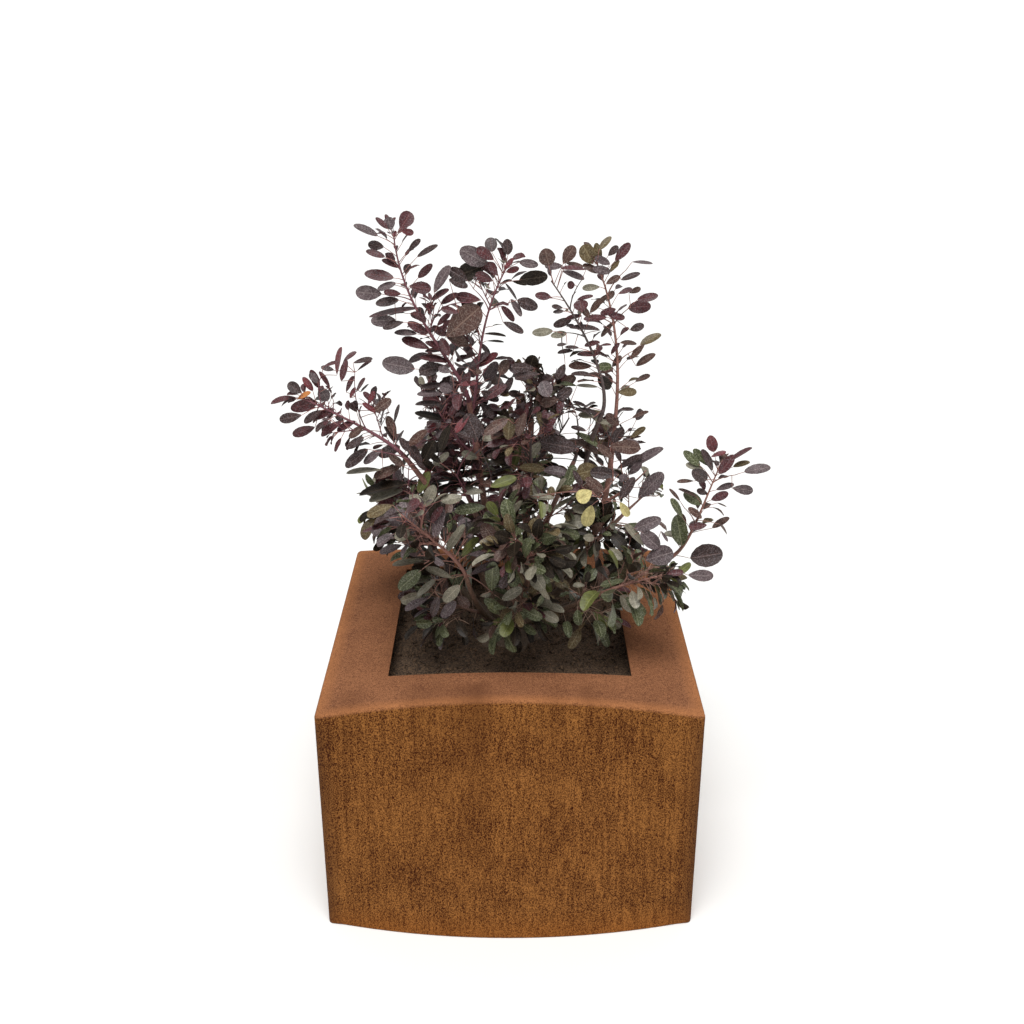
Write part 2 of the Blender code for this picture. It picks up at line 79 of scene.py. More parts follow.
def linear(colour: str) -> tuple[float, float, float, float]:
    """Turn an sRGB hex colour, such as "#8a5a30", into linear values and an alpha of 1."""
    parts = [int(colour[i:i + 2], 16) / 255 for i in (1, 3, 5)]
    red, green, blue = (p / 12.92 if p <= 0.04045 else ((p + 0.055) / 1.055) ** 2.4 for p in parts)
    return red, green, blue, 1.0


class Graph:
    """A material's shader nodes, from the place on the piece to the finished surface."""

    def __init__(self, name: str) -> None:
        """Start a material, with the place in metres as its pattern's coordinates."""
        self.material = bpy.data.materials.new(name)
        self.material.use_nodes = True
        self.tree = self.material.node_tree
        self.place = self.add("TexCoord", out="Object")

    def add(self, kind: str, sockets: dict | tuple = (), out: int | str = 0,
            **settings: Any) -> bpy.types.NodeSocket:
        """Add a shader node with its settings, socket values and links.

        Args:
            kind: The node's type, without "ShaderNode".
            sockets: Values or linked outputs, by input name or number, or in the inputs' order.
            out: Name or number of the output that is wanted.
            **settings: Properties of the node.

        Returns:
            The node's output socket.
        """
        node = self.tree.nodes.new("ShaderNode" + kind)
        for name, value in settings.items():
            setattr(node, name, value)
        self.fill(node, sockets)
        return node.outputs[out]

    def fill(self, node: bpy.types.Node, sockets: dict | tuple) -> None:
        """Set or link a node's inputs, given as for add."""
        pairs = sockets.items() if isinstance(sockets, dict) else enumerate(sockets)
        for name, value in pairs:
            if isinstance(value, bpy.types.NodeSocket):
                self.tree.links.new(value, node.inputs[name])
            else:
                node.inputs[name].default_value = value

    def surface(self, sockets: dict) -> bpy.types.Material:
        """End the graph in the shader's inputs, given as for add, and return the material."""
        self.fill(self.tree.nodes["Principled BSDF"], sockets)
        return self.material


def deselect_all() -> None:
    """Leave nothing selected, so that an operator acts on the next piece alone."""
    bpy.ops.object.select_all(action="DESELECT")


def start_mesh(operator: Callable, **settings: Any) -> bpy.types.Object:
    """Add a primitive alone, with its place and scale in its vertices.

    Args:
        operator: The operator that adds it.
        **settings: The operator's settings.

    Returns:
        The new object, at the origin.
    """
    deselect_all()
    operator(**settings)
    bpy.ops.object.transform_apply(location=True, rotation=True, scale=True)
    return bpy.context.object


@contextmanager
def editing() -> Iterator[None]:
    """Edit the whole active mesh, and end with its faces outwards."""
    bpy.ops.object.mode_set(mode="EDIT")
    bpy.ops.mesh.select_all(action="SELECT")
    yield
    bpy.ops.mesh.select_all(action="SELECT")
    bpy.ops.mesh.normals_make_consistent(inside=False)
    bpy.ops.object.mode_set(mode="OBJECT")


def apply_modifier(obj: bpy.types.Object, kind: str, **settings: Any) -> None:
    """Add a modifier with its settings to the active piece, and apply it.

    Args:
        obj: The piece, which is made the active object.
        kind: The modifier's type.
        **settings: Properties of the modifier.
    """
    bpy.context.view_layer.objects.active = obj
    modifier = obj.modifiers.new(kind.lower(), kind)
    for name, value in settings.items():
        setattr(modifier, name, value)
    bpy.ops.object.modifier_apply(modifier=modifier.name)


def smooth_noise(points: np.ndarray, size: float, seed: float) -> np.ndarray:
    """Sample a smooth noise field at many points.

    Args:
        points: Array of shape (n, 3), in metres.
        size: Width of the field's features, in metres.
        seed: Shifts the field.

    Returns:
        Array of n values from about -1 to 1.
    """
    shift = Vector((seed, seed * 1.7, seed * 2.3))
    return np.array([noise.noise(Vector(p) / size + shift) for p in points])


def vertex_array(obj: bpy.types.Object) -> np.ndarray:
    """Return the places of an object's vertices, as an array of shape (n, 3)."""
    places = np.zeros(len(obj.data.vertices) * 3)
    obj.data.vertices.foreach_get("co", places)
    return places.reshape(-1, 3)


def set_vertices(obj: bpy.types.Object, places: np.ndarray) -> None:
    """Move an object's vertices to new places, given as an array of shape (n, 3)."""
    obj.data.vertices.foreach_set("co", places.astype(np.float32).ravel())
    obj.data.update()


def paint(obj: bpy.types.Object, name: str, values: np.ndarray) -> None:
    """Keep one number for each vertex under a name, for the piece's finish to read."""
    attribute = obj.data.attributes.new(name, "FLOAT", "POINT")
    attribute.data.foreach_set("value", values.astype(np.float32))


def fit_out(obj: bpy.types.Object, name: str, slot: str, material: bpy.types.Material,
            *nodes: str) -> None:
    """Name a finished piece, dress it and set it on the plant's body in place of nodes.

    Args:
        obj: The finished piece, at the origin.
        name: The piece's name.
        slot: The record's material slot; not used.
        material: The piece's finish.
        *nodes: Nodes of the frame that the piece stands for.
    """
    obj.name = name
    obj.data.name = name
    obj.data.materials.clear()
    obj.data.materials.append(material)
    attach(obj, BODY)
    if nodes:
        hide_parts(*nodes)
    LOG.info("%s: %d faces", name, len(obj.data.polygons))


@dataclass(frozen=True)
class PhotoView:
    """Where the photograph was taken from, and its lens."""

    place: Vector = Vector((0.0, -1.901, 1.4317))
    pitch: float = math.radians(23.35)
    yaw: float = math.radians(-0.116)
    pixels: int = 1024
    focal_pixels: float = 1232.0
    sensor: float = 36.0

    def turn(self) -> Euler:
        """The camera's rotation."""
        return Euler((math.pi / 2 - self.pitch, 0, self.yaw))

    def spot(self, pixel: Pair, depth: float) -> Vector:
        """Point seen at a pixel, on the upright plane at a depth.

        Args:
            pixel: Across and down in the photograph.
            depth: The plane's Y.

        Returns:
            The point.
        """
        across, down = (value - self.pixels / 2 for value in pixel)
        ray = self.turn().to_matrix() @ Vector((across, -down, -self.focal_pixels))
        return self.place + ray * ((depth - self.place.y) / ray.y)

    def seen(self, points: np.ndarray) -> tuple[np.ndarray, np.ndarray]:
        """Where points show in the photograph.

        Args:
            points: Array of shape (n, 3).

        Returns:
            Their pixels, of shape (n, 2), and their distances along the view, of shape (n,).
        """
        local = (points - np.array(self.place)) @ np.array(self.turn().to_matrix())
        away = -local[:, 2]
        return local[:, :2] * (1, -1) / away[:, None] * self.focal_pixels + self.pixels / 2, away


# Finishes

@dataclass(frozen=True)
class WeatheringSteelFinish:
    """Weathering steel sheet, rusted outdoors: a matt, tight brown patina.

    The patina gives the eye dark specks a few millimetres wide in orange-brown, drawn out
    down the walls by rain, with brighter orange where water stands on the foot. A painted
    highlight lights the fold along the rim, and painted shade darkens the rounded corners.
    """

    light: str = "#9e6834"
    dark: str = "#340f00"
    rim: str = "#9e6c52"
    # Painted highlight on the rim's rounded fold.
    fold: str = "#b8794a"
    foot: str = "#9a5a22"
    # Painted shade down the rounded corners.
    edge: str = "#43291a"
    speck: float = 1.5 * MM
    speck_height: float = 0.62
    grit: float = 0.8 * MM
    streak: Pair = (5 * MM, 150 * MM)
    patch: float = 80 * MM

    def material(self) -> bpy.types.Material:
        """Make the finish's material."""
        graph = Graph("weathering_steel_patina")
        add, place = graph.add, graph.place
        wide, tall = self.streak
        drawn = add("Mapping", {"Vector": place, "Scale": (1, 1, self.speck_height)})
        down = add("Mapping", {"Vector": place, "Scale": (1, 1, wide / tall)})
        specks, grit, streaks, patches = (
            add("TexNoise", {"Vector": at, "Scale": 1 / size, "Detail": detail, "Roughness": rough})
            for at, size, detail, rough in ((drawn, self.speck, 2, 0.6), (place, self.grit, 1, 0.5),
                                            (down, wide, 4, 0.55), (place, self.patch, 3, 0.5)))
        broad = add("Math", (streaks, 0.62), operation="MULTIPLY")
        broad = add("Math", (patches, 0.38, broad), operation="MULTIPLY_ADD")
        level = add("MapRange", (broad, 0.36, 0.64, -0.30, 0.16))
        grain = add("Math", (grit, 0.3, specks), operation="MULTIPLY_ADD")
        grain = add("MapRange", (grain, 0.54, 0.76, 0.05, 0.95))
        mixed = add("Math", (grain, level), operation="ADD", use_clamp=True)
        broken = add("Math", (mixed, 0.7, 0.55), operation="MULTIPLY_ADD")
        colour = add("Mix", {0: mixed, 6: linear(self.dark), 7: linear(self.light)}, 2,
                     data_type="RGBA")
        # Of these tints, the fold's is a painted highlight and the edge's is painted shade; rim, foot
        # and stain are the patina's own colours.
        for name, tint, most in (("rim", self.rim, 0.55), ("foot", self.foot, 0.4),
                                 ("edge", self.edge, 0.55), ("fold", self.fold, 0.5),
                                 ("stain", self.dark, 0.55)):
            patina_and_light = add("Attribute", out="Fac", attribute_name=name)
            share = add("Math", (patina_and_light, broken), operation="MULTIPLY")
            share = add("Math", (share, most), operation="MULTIPLY", use_clamp=True)
            colour = add("Mix", {0: share, 6: colour, 7: linear(tint)}, 2, data_type="RGBA")
        relief = add("Bump", {"Height": specks, "Strength": 0.5, "Distance": 0.5 * MM})
        return graph.surface({"Base Color": colour, "Normal": relief, "Roughness": 0.85,
                              "Specular IOR Level": 0.10})


@dataclass(frozen=True)
class PottingSoilFinish:
    """Moist potting soil: peat and bark fines, almost black, with paler fibres."""

    light: str = "#7a6048"
    dark: str = "#251b14"
    crumb: float = 4 * MM
    fibre: float = 1.4 * MM

    def material(self) -> bpy.types.Material:
        """Make the finish's material."""
        graph = Graph("moist_potting_soil")
        add = graph.add
        crumbs, fibres = (
            add("TexNoise", {"Vector": graph.place, "Scale": 1 / size, "Detail": detail,
                             "Roughness": rough})
            for size, detail, rough in ((self.crumb, 5, 0.7), (self.fibre, 2, 0.5)))
        both = add("Math", (crumbs, fibres), operation="MULTIPLY")
        share = add("MapRange", (both, 0.18, 0.36))
        colour = add("Mix", {0: share, 6: linear(self.dark), 7: linear(self.light)}, 2,
                     data_type="RGBA")
        relief = add("Bump", {"Height": both, "Strength": 0.8, "Distance": 1.0 * MM})
        return graph.surface({"Base Color": colour, "Normal": relief, "Roughness": 0.95})


@dataclass(frozen=True)
class BarkFinish:
    """Smoke bush bark: thin, red-brown on young wood and grey-brown at the foot.

    Small pale pores dot the young wood. Above the height young the colour is that of the
    year's shoots, and below the height old that of the oldest wood.
    """

    name: str
    shoot: str
    wood: str
    pore: str = "#b09080"
    old: float = 0.45
    young: float = 0.70
    grain: float = 3.0 * MM
    pore_spacing: float = 5.0 * MM

    def material(self) -> bpy.types.Material:
        """Make the finish's material."""
        graph = Graph(self.name)
        add, place = graph.add, graph.place
        height = add("SeparateXYZ", (place,), "Z")
        age = add("MapRange", (height, self.old, self.young))
        base = add("Mix", {0: age, 6: linear(self.wood), 7: linear(self.shoot)}, 2, data_type="RGBA")
        grain = add("TexNoise", {"Vector": place, "Scale": 1 / self.grain, "Detail": 4.0,
                                 "Roughness": 0.65})
        shade = add("MapRange", (grain, 0.3, 0.7, 0.55, 1.35))
        toned = add("VectorMath", {0: base, "Scale": shade}, operation="SCALE")
        cells = add("TexVoronoi", {"Vector": place, "Scale": 1 / self.pore_spacing}, "Distance")
        pores = add("MapRange", (cells, 0.10, 0.17, 0.6, 0.0))
        colour = add("Mix", {0: pores, 6: toned, 7: linear(self.pore)}, 2, data_type="RGBA")
        relief = add("Bump", {"Height": grain, "Strength": 0.6, "Distance": 0.5 * MM})
        return graph.surface({"Base Color": colour, "Normal": relief, "Roughness": 0.62})


@dataclass(frozen=True)
class LeafFinish:
    """A smoke bush leaf blade: waxy skin over one pigment, with a paler midrib and veins.

    The pale specks are partly the wax and dried water spots on the skin and partly a painted
    sheen for the sky's reflection on the wax. The vein pattern follows the blade's own map:
    x across from 0 to 1, y from the petiole to the tip.
    """

    name: str
    blade: str
    vein: str
    bloom_sheen: str = "#8d8488"
    bloom_sheen_amount: float = 0.48
    speck: float = 2.0 * MM
    mottle: float = 9 * MM
    vein_pairs: float = 8.0
    roughness: float = 0.42
    sheen: float = 0.35

    def material(self) -> bpy.types.Material:
        """Make the finish's material."""
        graph = Graph(self.name)
        add = graph.add
        own = add("UVMap", uv_map="blade")
        across, along, _ = add("SeparateXYZ", (own,)).node.outputs
        side = add("Math", (across, 0.5), operation="SUBTRACT")
        side = add("Math", (side,), operation="ABSOLUTE")
        midrib = add("MapRange", (side, 0.012, 0.045, 1.0, 0.0))
        slant = add("Math", (side, -2.2, 0.0), operation="MULTIPLY_ADD")
        slope = add("Math", (along, self.vein_pairs, slant), operation="MULTIPLY_ADD")
        wave = add("Math", (slope, 0.5), operation="PINGPONG")
        ribs = add("MapRange", (wave, 0.0, 0.09, 0.55, 0.0))
        veins = add("Math", (midrib, ribs), operation="MAXIMUM")
        mottle, specks = (
            add("TexNoise", {"Vector": graph.place, "Scale": 1 / size, "Detail": detail,
                             "Roughness": 0.6})
            for size, detail in ((self.mottle, 3), (self.speck, 2)))
        shade = add("MapRange", (mottle, 0.3, 0.7, 0.62, 1.38))
        toned = add("VectorMath", {0: linear(self.blade)[:3], "Scale": shade}, operation="SCALE")
        share = add("Math", (veins, 0.55), operation="MULTIPLY")
        veined = add("Mix", {0: share, 6: toned, 7: linear(self.vein)}, 2, data_type="RGBA")
        # Pale specks: partly wax and dried water spots, partly a painted sheen for the sky's reflection.
        spots_and_sheen = add("MapRange", (specks, 0.49, 0.70, 0.0, self.bloom_sheen_amount))
        colour = add("Mix", {0: spots_and_sheen, 6: veined, 7: linear(self.bloom_sheen)}, 2, data_type="RGBA")
        relief = add("Bump", {"Height": veins, "Strength": 0.5, "Distance": 0.4 * MM}, invert=True)
        return graph.surface({"Base Color": colour, "Normal": relief,
                              "Roughness": self.roughness, "Specular IOR Level": self.sheen})


class Leaf(Enum):
    """Kinds of leaf by colour, from the youngest red ones to withered ones. The near-black kind is
    painted shade among the leaves, and the pale grey-green kind is a painted highlight for leaves lit by
    the sky.
    """

    CLARET = LeafFinish("leaf_claret", "#662a2e", "#a06466")
    WINE = LeafFinish("leaf_wine", "#4a2124", "#885654")
    PLUM = LeafFinish("leaf_plum", "#33221f", "#765e59")
    # Painted shade: a near-black kind put where the crown lies in deep shade.
    NIGHT = LeafFinish("leaf_painted_shade", "#191109", "#4c4034", bloom_sheen="#7e7264", bloom_sheen_amount=0.20,
                       sheen=0.20)
    GREY_PLUM = LeafFinish("leaf_grey_plum", "#524446", "#8e7f7c", bloom_sheen="#b4a8a8",
                           bloom_sheen_amount=0.45)
    # Painted highlight: a pale grey-green kind put where leaves catch the sky's light.
    SILVER = LeafFinish("leaf_painted_highlight", "#767060", "#b0aa98", bloom_sheen="#c4beac", bloom_sheen_amount=0.45)
    UMBER = LeafFinish("leaf_umber", "#4a3029", "#8c7466", bloom_sheen="#a09086")
    OLIVE = LeafFinish("leaf_olive", "#58482e", "#9c8e6c", bloom_sheen="#b0a688")
    SAGE = LeafFinish("leaf_sage", "#41462a", "#9a9c78", bloom_sheen="#b0b096", bloom_sheen_amount=0.48)
    MOSS = LeafFinish("leaf_moss", "#606431", "#969c5e", bloom_sheen_amount=0.20)
    SCORCHED = LeafFinish("leaf_scorched", "#b8743c", "#d9a468", bloom_sheen_amount=0.10,
                          roughness=0.65)
    WITHERED = LeafFinish("leaf_withered", "#d0c488", "#a08a50", bloom_sheen="#8a6a3a",
                          bloom_sheen_amount=0.40, roughness=0.75)


def dealt(**weights: int) -> tuple[tuple[Leaf, int], ...]:
    """Pair kinds of leaf, given by name, with how often each is dealt out."""
    return tuple((Leaf[name], weight) for name, weight in weights.items())


class Tint(Enum):
    """How the kinds of leaf are dealt out in a spray."""

    # The near-black kind dealt out here is painted shade, and the pale grey-green kind is a painted
    # highlight.
    RED = dealt(WINE=9, CLARET=2, PLUM=4, GREY_PLUM=4)
    PURPLE = dealt(PLUM=7, NIGHT=1, WINE=5, GREY_PLUM=3, UMBER=3, SILVER=1)
    DUSK = dealt(UMBER=5, PLUM=5, NIGHT=3, WINE=3, OLIVE=2, GREY_PLUM=4, SILVER=2)
    BRONZE = dealt(OLIVE=2, UMBER=5, WINE=4, GREY_PLUM=3, SILVER=1)
    SHADE = dealt(PLUM=1, NIGHT=8, SAGE=8, UMBER=3, OLIVE=4, MOSS=1, SILVER=4)
    GREY = dealt(GREY_PLUM=3, SILVER=3, UMBER=3, SAGE=5, PLUM=2, NIGHT=6)
    GREEN = dealt(SAGE=12, OLIVE=3, MOSS=2, UMBER=1, NIGHT=7, SILVER=3)

    def bark(self) -> "Bark":
        """Bark of the tint's twigs."""
        return {"RED": Bark.RED, "PURPLE": Bark.RED, "DUSK": Bark.GREY}.get(self.name, Bark.TAN)


class Bark(Enum):
    """The barks of the stems and of the young twigs."""

    STEM = BarkFinish("stem_bark", "#92665a", "#62503f")
    DARK_STEM = BarkFinish("dark_stem_bark", "#544440", "#4c4038")
    RED = BarkFinish("twigs_red", "#784850", "#6a463e", young=0.60)
    TAN = BarkFinish("twigs_tan", "#96695e", "#6e5446", young=0.60)
    GREY = BarkFinish("twigs_grey", "#564846", "#504238", young=0.60)


# Planter and soil

@dataclass
class SteelPlanter:
    """Planter of folded steel sheet: floor, four walls and a wide flat rim.

    The front and back walls swell out at the foot and are drawn in at the rim, and the rim
    rises a little from its two sides to its middle. Rain has left drips on the walls, each
    with its place across, its width, its length and its depth of colour.
    """

    width: float = 0.600
    height: float = 0.400
    sheet: float = 0.003
    opening: float = 0.390
    foot_bow: float = 0.036
    rim_bow: float = -0.020
    rim_crown: float = 0.016
    corner_radius: float = 0.010
    fold_radius: float = 0.006
    foot_radius: float = 0.003
    bevel_steps: int = 4
    rim_cuts: int = 4
    middle_cuts: int = 16
    wall_cuts: int = 16
    waviness: float = 0.5 * MM
    wave_width: float = 0.130
    # Width of the fold's painted highlight, and the width and the start below the rim of the corners'
    # painted shade
    fold_highlight_band: float = 3.5 * MM
    corner_shade_band: float = 0.016
    corner_shade_start: float = 0.030
    foot_band: float = 0.026
    front_drip: tuple[float, ...] = (-0.058, 0.020, 0.19, 1.0)
    drips: int = 9
    drip_limits: tuple[Pair, ...] = (
        (-0.26, 0.26), (0.004, 0.016), (0.05, 0.24), (0.3, 0.7))
    drip_reach: float = 0.080
    drip_seed: int = 5
    edge_rounding: float = 0.4 * MM
    finish: WeatheringSteelFinish = WeatheringSteelFinish()

    def bow(self, x: np.ndarray, z: np.ndarray) -> np.ndarray:
        """How far the front and back walls stand out at places along and up them."""
        flat = self.width / 2 - self.corner_radius
        swell = self.foot_bow + (self.rim_bow - self.foot_bow) * z / self.height
        return swell * np.clip(1 - (x / flat) ** 2, 0, 1)

    def crown(self, x: np.ndarray) -> np.ndarray:
        """Factor by which heights grow at places across the planter."""
        return 1 + self.rim_crown / self.height * (1 - (2 * x / self.width) ** 2)

    def cut_box(self) -> bpy.types.Object:
        """Make the box in even cuts, with its top open inside the rim.

        Returns:
            The open box, one skin thick.
        """
        half, hole = self.width / 2, self.opening / 2
        obj = start_mesh(bpy.ops.mesh.primitive_cube_add, size=1.0, location=(0, 0, self.height / 2),
                         scale=(self.width, self.width, self.height))
        across = [*np.linspace(-half, -hole, self.rim_cuts + 1)[1:],
                  *np.linspace(-hole, hole, self.middle_cuts + 1)[1:-1],
                  *np.linspace(hole, half, self.rim_cuts + 1)[:-1]]
        up = np.linspace(0, self.height, self.wall_cuts + 1)[1:-1]
        cuts = [((x, 0, 0), (1, 0, 0)) for x in across] + [((0, y, 0), (0, 1, 0)) for y in across]
        cuts += [((0, 0, z), (0, 0, 1)) for z in up]
        bpy.ops.object.mode_set(mode="EDIT")
        for place, normal in cuts:
            bpy.ops.mesh.select_all(action="SELECT")
            bpy.ops.mesh.bisect(plane_co=place, plane_no=normal)
        bpy.ops.mesh.select_all(action="DESELECT")
        mesh = bmesh.from_edit_mesh(obj.data)
        for face in mesh.faces:
            middle = face.calc_center_median()
            inside = max(abs(middle.x), abs(middle.y)) < hole
            face.select_set(inside and middle.z > self.height - self.sheet)
        bmesh.update_edit_mesh(obj.data)
        bpy.ops.mesh.delete(type="FACE")
        bpy.ops.object.mode_set(mode="OBJECT")
        return obj

    def shape(self, obj: bpy.types.Object) -> None:
        """Swell the walls, crown the rim and give the flat sheet its slight waves."""
        half, hole = self.width / 2, self.opening / 2
        places = vertex_array(obj)
        x, y, z = places.T.copy()
        at_side, at_front = np.abs(x) > half - MM, np.abs(y) > half - MM
        wall = (z > 0) & (z < self.height)
        reach = np.where(z < self.height / 2, np.abs(y) / half,
                         np.clip((np.abs(y) - hole) / (half - hole), 0, 1))
        reach = np.where(wall, at_front, reach)
        waves = smooth_noise(places, self.wave_width, 3.1) * self.waviness * wall
        places[:, 1] += np.sign(y) * (self.bow(x, z) * reach + waves * (at_front & ~at_side))
        places[:, 0] += np.sign(x) * waves * (at_side & ~at_front)
        places[:, 2] *= self.crown(x)
        set_vertices(obj, places)

    def weigh_edges(self, obj: bpy.types.Object) -> None:
        """Give the corners, the fold and the foot their shares of the widest rounding."""
        half = self.width / 2
        pairs = np.zeros(len(obj.data.edges) * 2, dtype=int)
        obj.data.edges.foreach_get("vertices", pairs)
        x, y, z = np.moveaxis(vertex_array(obj)[pairs.reshape(-1, 2)], -1, 0)
        wall = half + self.bow(x, z / self.crown(x))
        on_front = np.abs(np.abs(y) - wall) < 2 * self.waviness + MM
        on_side = np.abs(x) > half - MM
        top, foot = z > (self.height - MM) * self.crown(x), z < MM
        weight = np.zeros(len(pairs) // 2)
        weight[((on_side | on_front) & foot).all(1)] = self.foot_radius / self.corner_radius
        weight[((on_side | on_front) & top).all(1)] = self.fold_radius / self.corner_radius
        weight[(on_side & on_front).all(1) & ~top.all(1) & ~foot.all(1)] = 1.0
        attribute = obj.data.attributes.new("bevel_weight_edge", "FLOAT", "EDGE")
        attribute.data.foreach_set("value", weight.astype(np.float32))

    def paint_patina_and_light(self, obj: bpy.types.Object) -> None:
        """Paint where the colour differs: the patina's rim, foot and drip stains, a painted highlight on
        the fold and painted shade down the corners.
        """
        half = self.width / 2
        x, y, z = vertex_array(obj).T
        top = self.height * self.crown(x)
        outward = np.maximum(np.abs(x) - half, np.abs(y) - half - self.bow(x, z / self.crown(x)))
        paint(obj, "rim", np.clip(1 - (top - z) / self.fold_radius, 0, 1))
        # Painted highlight along the rounded fold at the top of the walls.
        distance = np.hypot(np.minimum(outward + self.fold_radius, 0), top - z)
        paint(obj, "fold", np.exp(-(distance / self.fold_highlight_band) ** 2))
        # Painted shade down the rounded corners, fading out towards the rim.
        corner = np.hypot(half - np.abs(x), half - np.abs(y))
        below = np.clip((top - z) / self.corner_shade_start, 0, 1)
        paint(obj, "edge", np.exp(-(corner / self.corner_shade_band) ** 2) * below)
        paint(obj, "foot", np.exp(-(z / self.foot_band) ** 2))
        rng = random.Random(self.drip_seed)
        stain = np.zeros(len(x))
        for wall in (-1, 1):
            drips = [self.front_drip] if wall < 0 else []
            drips += [tuple(rng.uniform(*limits) for limits in self.drip_limits)
                      for _ in range(self.drips)]
            for centre, wide, long, depth in drips:
                drip = np.exp(-((x - centre) / wide) ** 2 - np.maximum(top - z, 0) / long)
                stain += depth * drip * (y * wall > half - self.drip_reach)
        paint(obj, "stain", np.clip(stain, 0, 1))

    def build(self) -> None:
        """Build and dress the planter."""
        obj = self.cut_box()
        self.shape(obj)
        self.weigh_edges(obj)
        apply_modifier(obj, "BEVEL", limit_method="WEIGHT", width=self.corner_radius,
                       segments=self.bevel_steps, offset_type="OFFSET")
        apply_modifier(obj, "SOLIDIFY", thickness=self.sheet, offset=-1.0, use_even_offset=True)
        apply_modifier(obj, "BEVEL", limit_method="ANGLE", angle_limit=math.radians(60),
                       width=self.edge_rounding, segments=2)
        bpy.ops.object.shade_smooth_by_angle(angle=math.radians(30))
        self.paint_patina_and_light(obj)
        fit_out(obj, "folded_planter", "weathering_steel", self.finish.material(), "planter")


@dataclass
class SoilTop:
    """The soil's crumbly surface and the loose crumbs on it, over the frame's soil."""

    side: float = 0.560
    level: float = 0.370
    depth: float = 0.012
    cuts: int = 150
    clods: tuple = ((0.045, 4.5 * MM), (0.014, 3.0 * MM), (0.005, 1.3 * MM))
    mound: float = 7 * MM
    mound_width: float = 0.060
    crumbs: int = 1600
    crumb_size: Pair = (2 * MM, 10 * MM)
    crumb_field: float = 0.205
    crumb_stretch: Pair = (0.35, 1.6)
    crumb_rough: Pair = (0.75, 1.2)
    crumb_rise: float = 0.3
    crumb_seed: int = 31
    finish: PottingSoilFinish = PottingSoilFinish()

    def heights(self, places: np.ndarray) -> np.ndarray:
        """Height of the crumbly surface over the soil's level at places."""
        rise = self.mound * np.exp(-(np.hypot(places[:, 0], places[:, 1]) / self.mound_width) ** 2)
        for i, (size, depth) in enumerate(self.clods):
            rise += np.abs(smooth_noise(places, size, 11.0 * (i + 1))) * depth
        return rise

    def build_surface(self, material: bpy.types.Material) -> None:
        """Build the crumbly surface as a closed slab that lies in the soil's top."""
        obj = start_mesh(bpy.ops.mesh.primitive_grid_add, x_subdivisions=self.cuts,
                         y_subdivisions=self.cuts, size=self.side, location=(0, 0, self.level))
        places = vertex_array(obj)
        places[:, 2] += self.heights(places)
        set_vertices(obj, places)
        with editing():
            bpy.ops.mesh.extrude_region_move(TRANSFORM_OT_translate={"value": (0, 0, -self.depth)})
            bpy.ops.transform.resize(value=(1, 1, 0),
                                     center_override=(0, 0, self.level - self.depth))
        bpy.ops.object.shade_smooth()
        fit_out(obj, "soil_surface", "potting_soil", material)

    def build_crumbs(self, material: bpy.types.Material) -> None:
        """Scatter loose crumbs: one rough lump, turned, stretched and joined many times."""
        lump = start_mesh(bpy.ops.mesh.primitive_ico_sphere_add, subdivisions=1, radius=1.0)
        shape = vertex_array(lump)
        faces = [tuple(f.vertices) for f in lump.data.polygons]
        bpy.data.objects.remove(lump, do_unlink=True)
        rng = random.Random(self.crumb_seed)
        smallest, largest = self.crumb_size
        crumbs = JoinedMesh()
        for _ in range(self.crumbs):
            x, y = (rng.uniform(-self.crumb_field, self.crumb_field) for _ in range(2))
            size = (smallest + rng.uniform(0, 1) ** 2 * (largest - smallest)) / 2
            stretch = Matrix.Diagonal([rng.uniform(*self.crumb_stretch) for _ in range(3)])
            turn = Quaternion([rng.gauss(0, 1) for _ in range(4)]).normalized().to_matrix()
            rough = np.array([rng.uniform(*self.crumb_rough) for _ in shape])[:, None]
            ground = self.heights(np.array([[x, y, self.level]]))[0]
            crumbs.add((shape * rough) @ np.array(stretch @ turn) * size
                       + (x, y, self.level + ground + size * self.crumb_rise), faces)
        fit_out(crumbs.make("soil_crumbs"), "soil_crumbs", "potting_soil", material)

    def build(self) -> None:
        """Build and dress the soil, the frame's own block of it too."""
        material = self.finish.material()
        block = frame["nodes"]["soil"]
        block.data.materials.clear()
        block.data.materials.append(material)
        self.build_surface(material)
        self.build_crumbs(material)


class JoinedMesh:
    """Many small shapes gathered in arrays and made into one mesh."""

    def __init__(self) -> None:
        """Start with no shapes."""
        self.verts: list[np.ndarray] = []
        self.faces: list[tuple[int, ...]] = []
        self.maps: list[np.ndarray] = []
        self.count = 0
        self.shapes = 0

    def add(self, verts: np.ndarray, faces: list[tuple[int, ...]],
            own_map: np.ndarray | None = None) -> None:
        """Add one shape.

        Args:
            verts: Vertices, of shape (n, 3).
            faces: Vertex numbers of each face.
            own_map: The shape's own map, of shape (n, 2).
        """
        self.faces += [tuple(i + self.count for i in face) for face in faces]
        self.verts.append(verts)
        if own_map is not None:
            self.maps.append(own_map)
        self.count += len(verts)
        self.shapes += 1

    def make(self, name: str) -> bpy.types.Object:
        """Make the joined mesh's object, smooth shaded, with its map where it has one."""
        mesh = bpy.data.meshes.new(name)
        mesh.from_pydata(np.concatenate(self.verts).tolist(), [], self.faces)
        mesh.shade_smooth()
        if self.maps:
            corners = np.zeros(len(mesh.loops), dtype=int)
            mesh.loops.foreach_get("vertex_index", corners)
            layer = mesh.uv_layers.new(name="blade")
            layer.data.foreach_set("uv", np.concatenate(self.maps)[corners].astype(np.float32).ravel())
        obj = bpy.data.objects.new(name, mesh)
        bpy.context.collection.objects.link(obj)
        return obj


# Limbs

def direction(azimuth: float, rise: float) -> Vector:
    """Unit vector at an azimuth from +X and a rise over the horizon, in degrees."""
    a, r = math.radians(azimuth), math.radians(rise)
    return Vector((math.cos(a) * math.cos(r), math.sin(a) * math.cos(r), math.sin(r)))


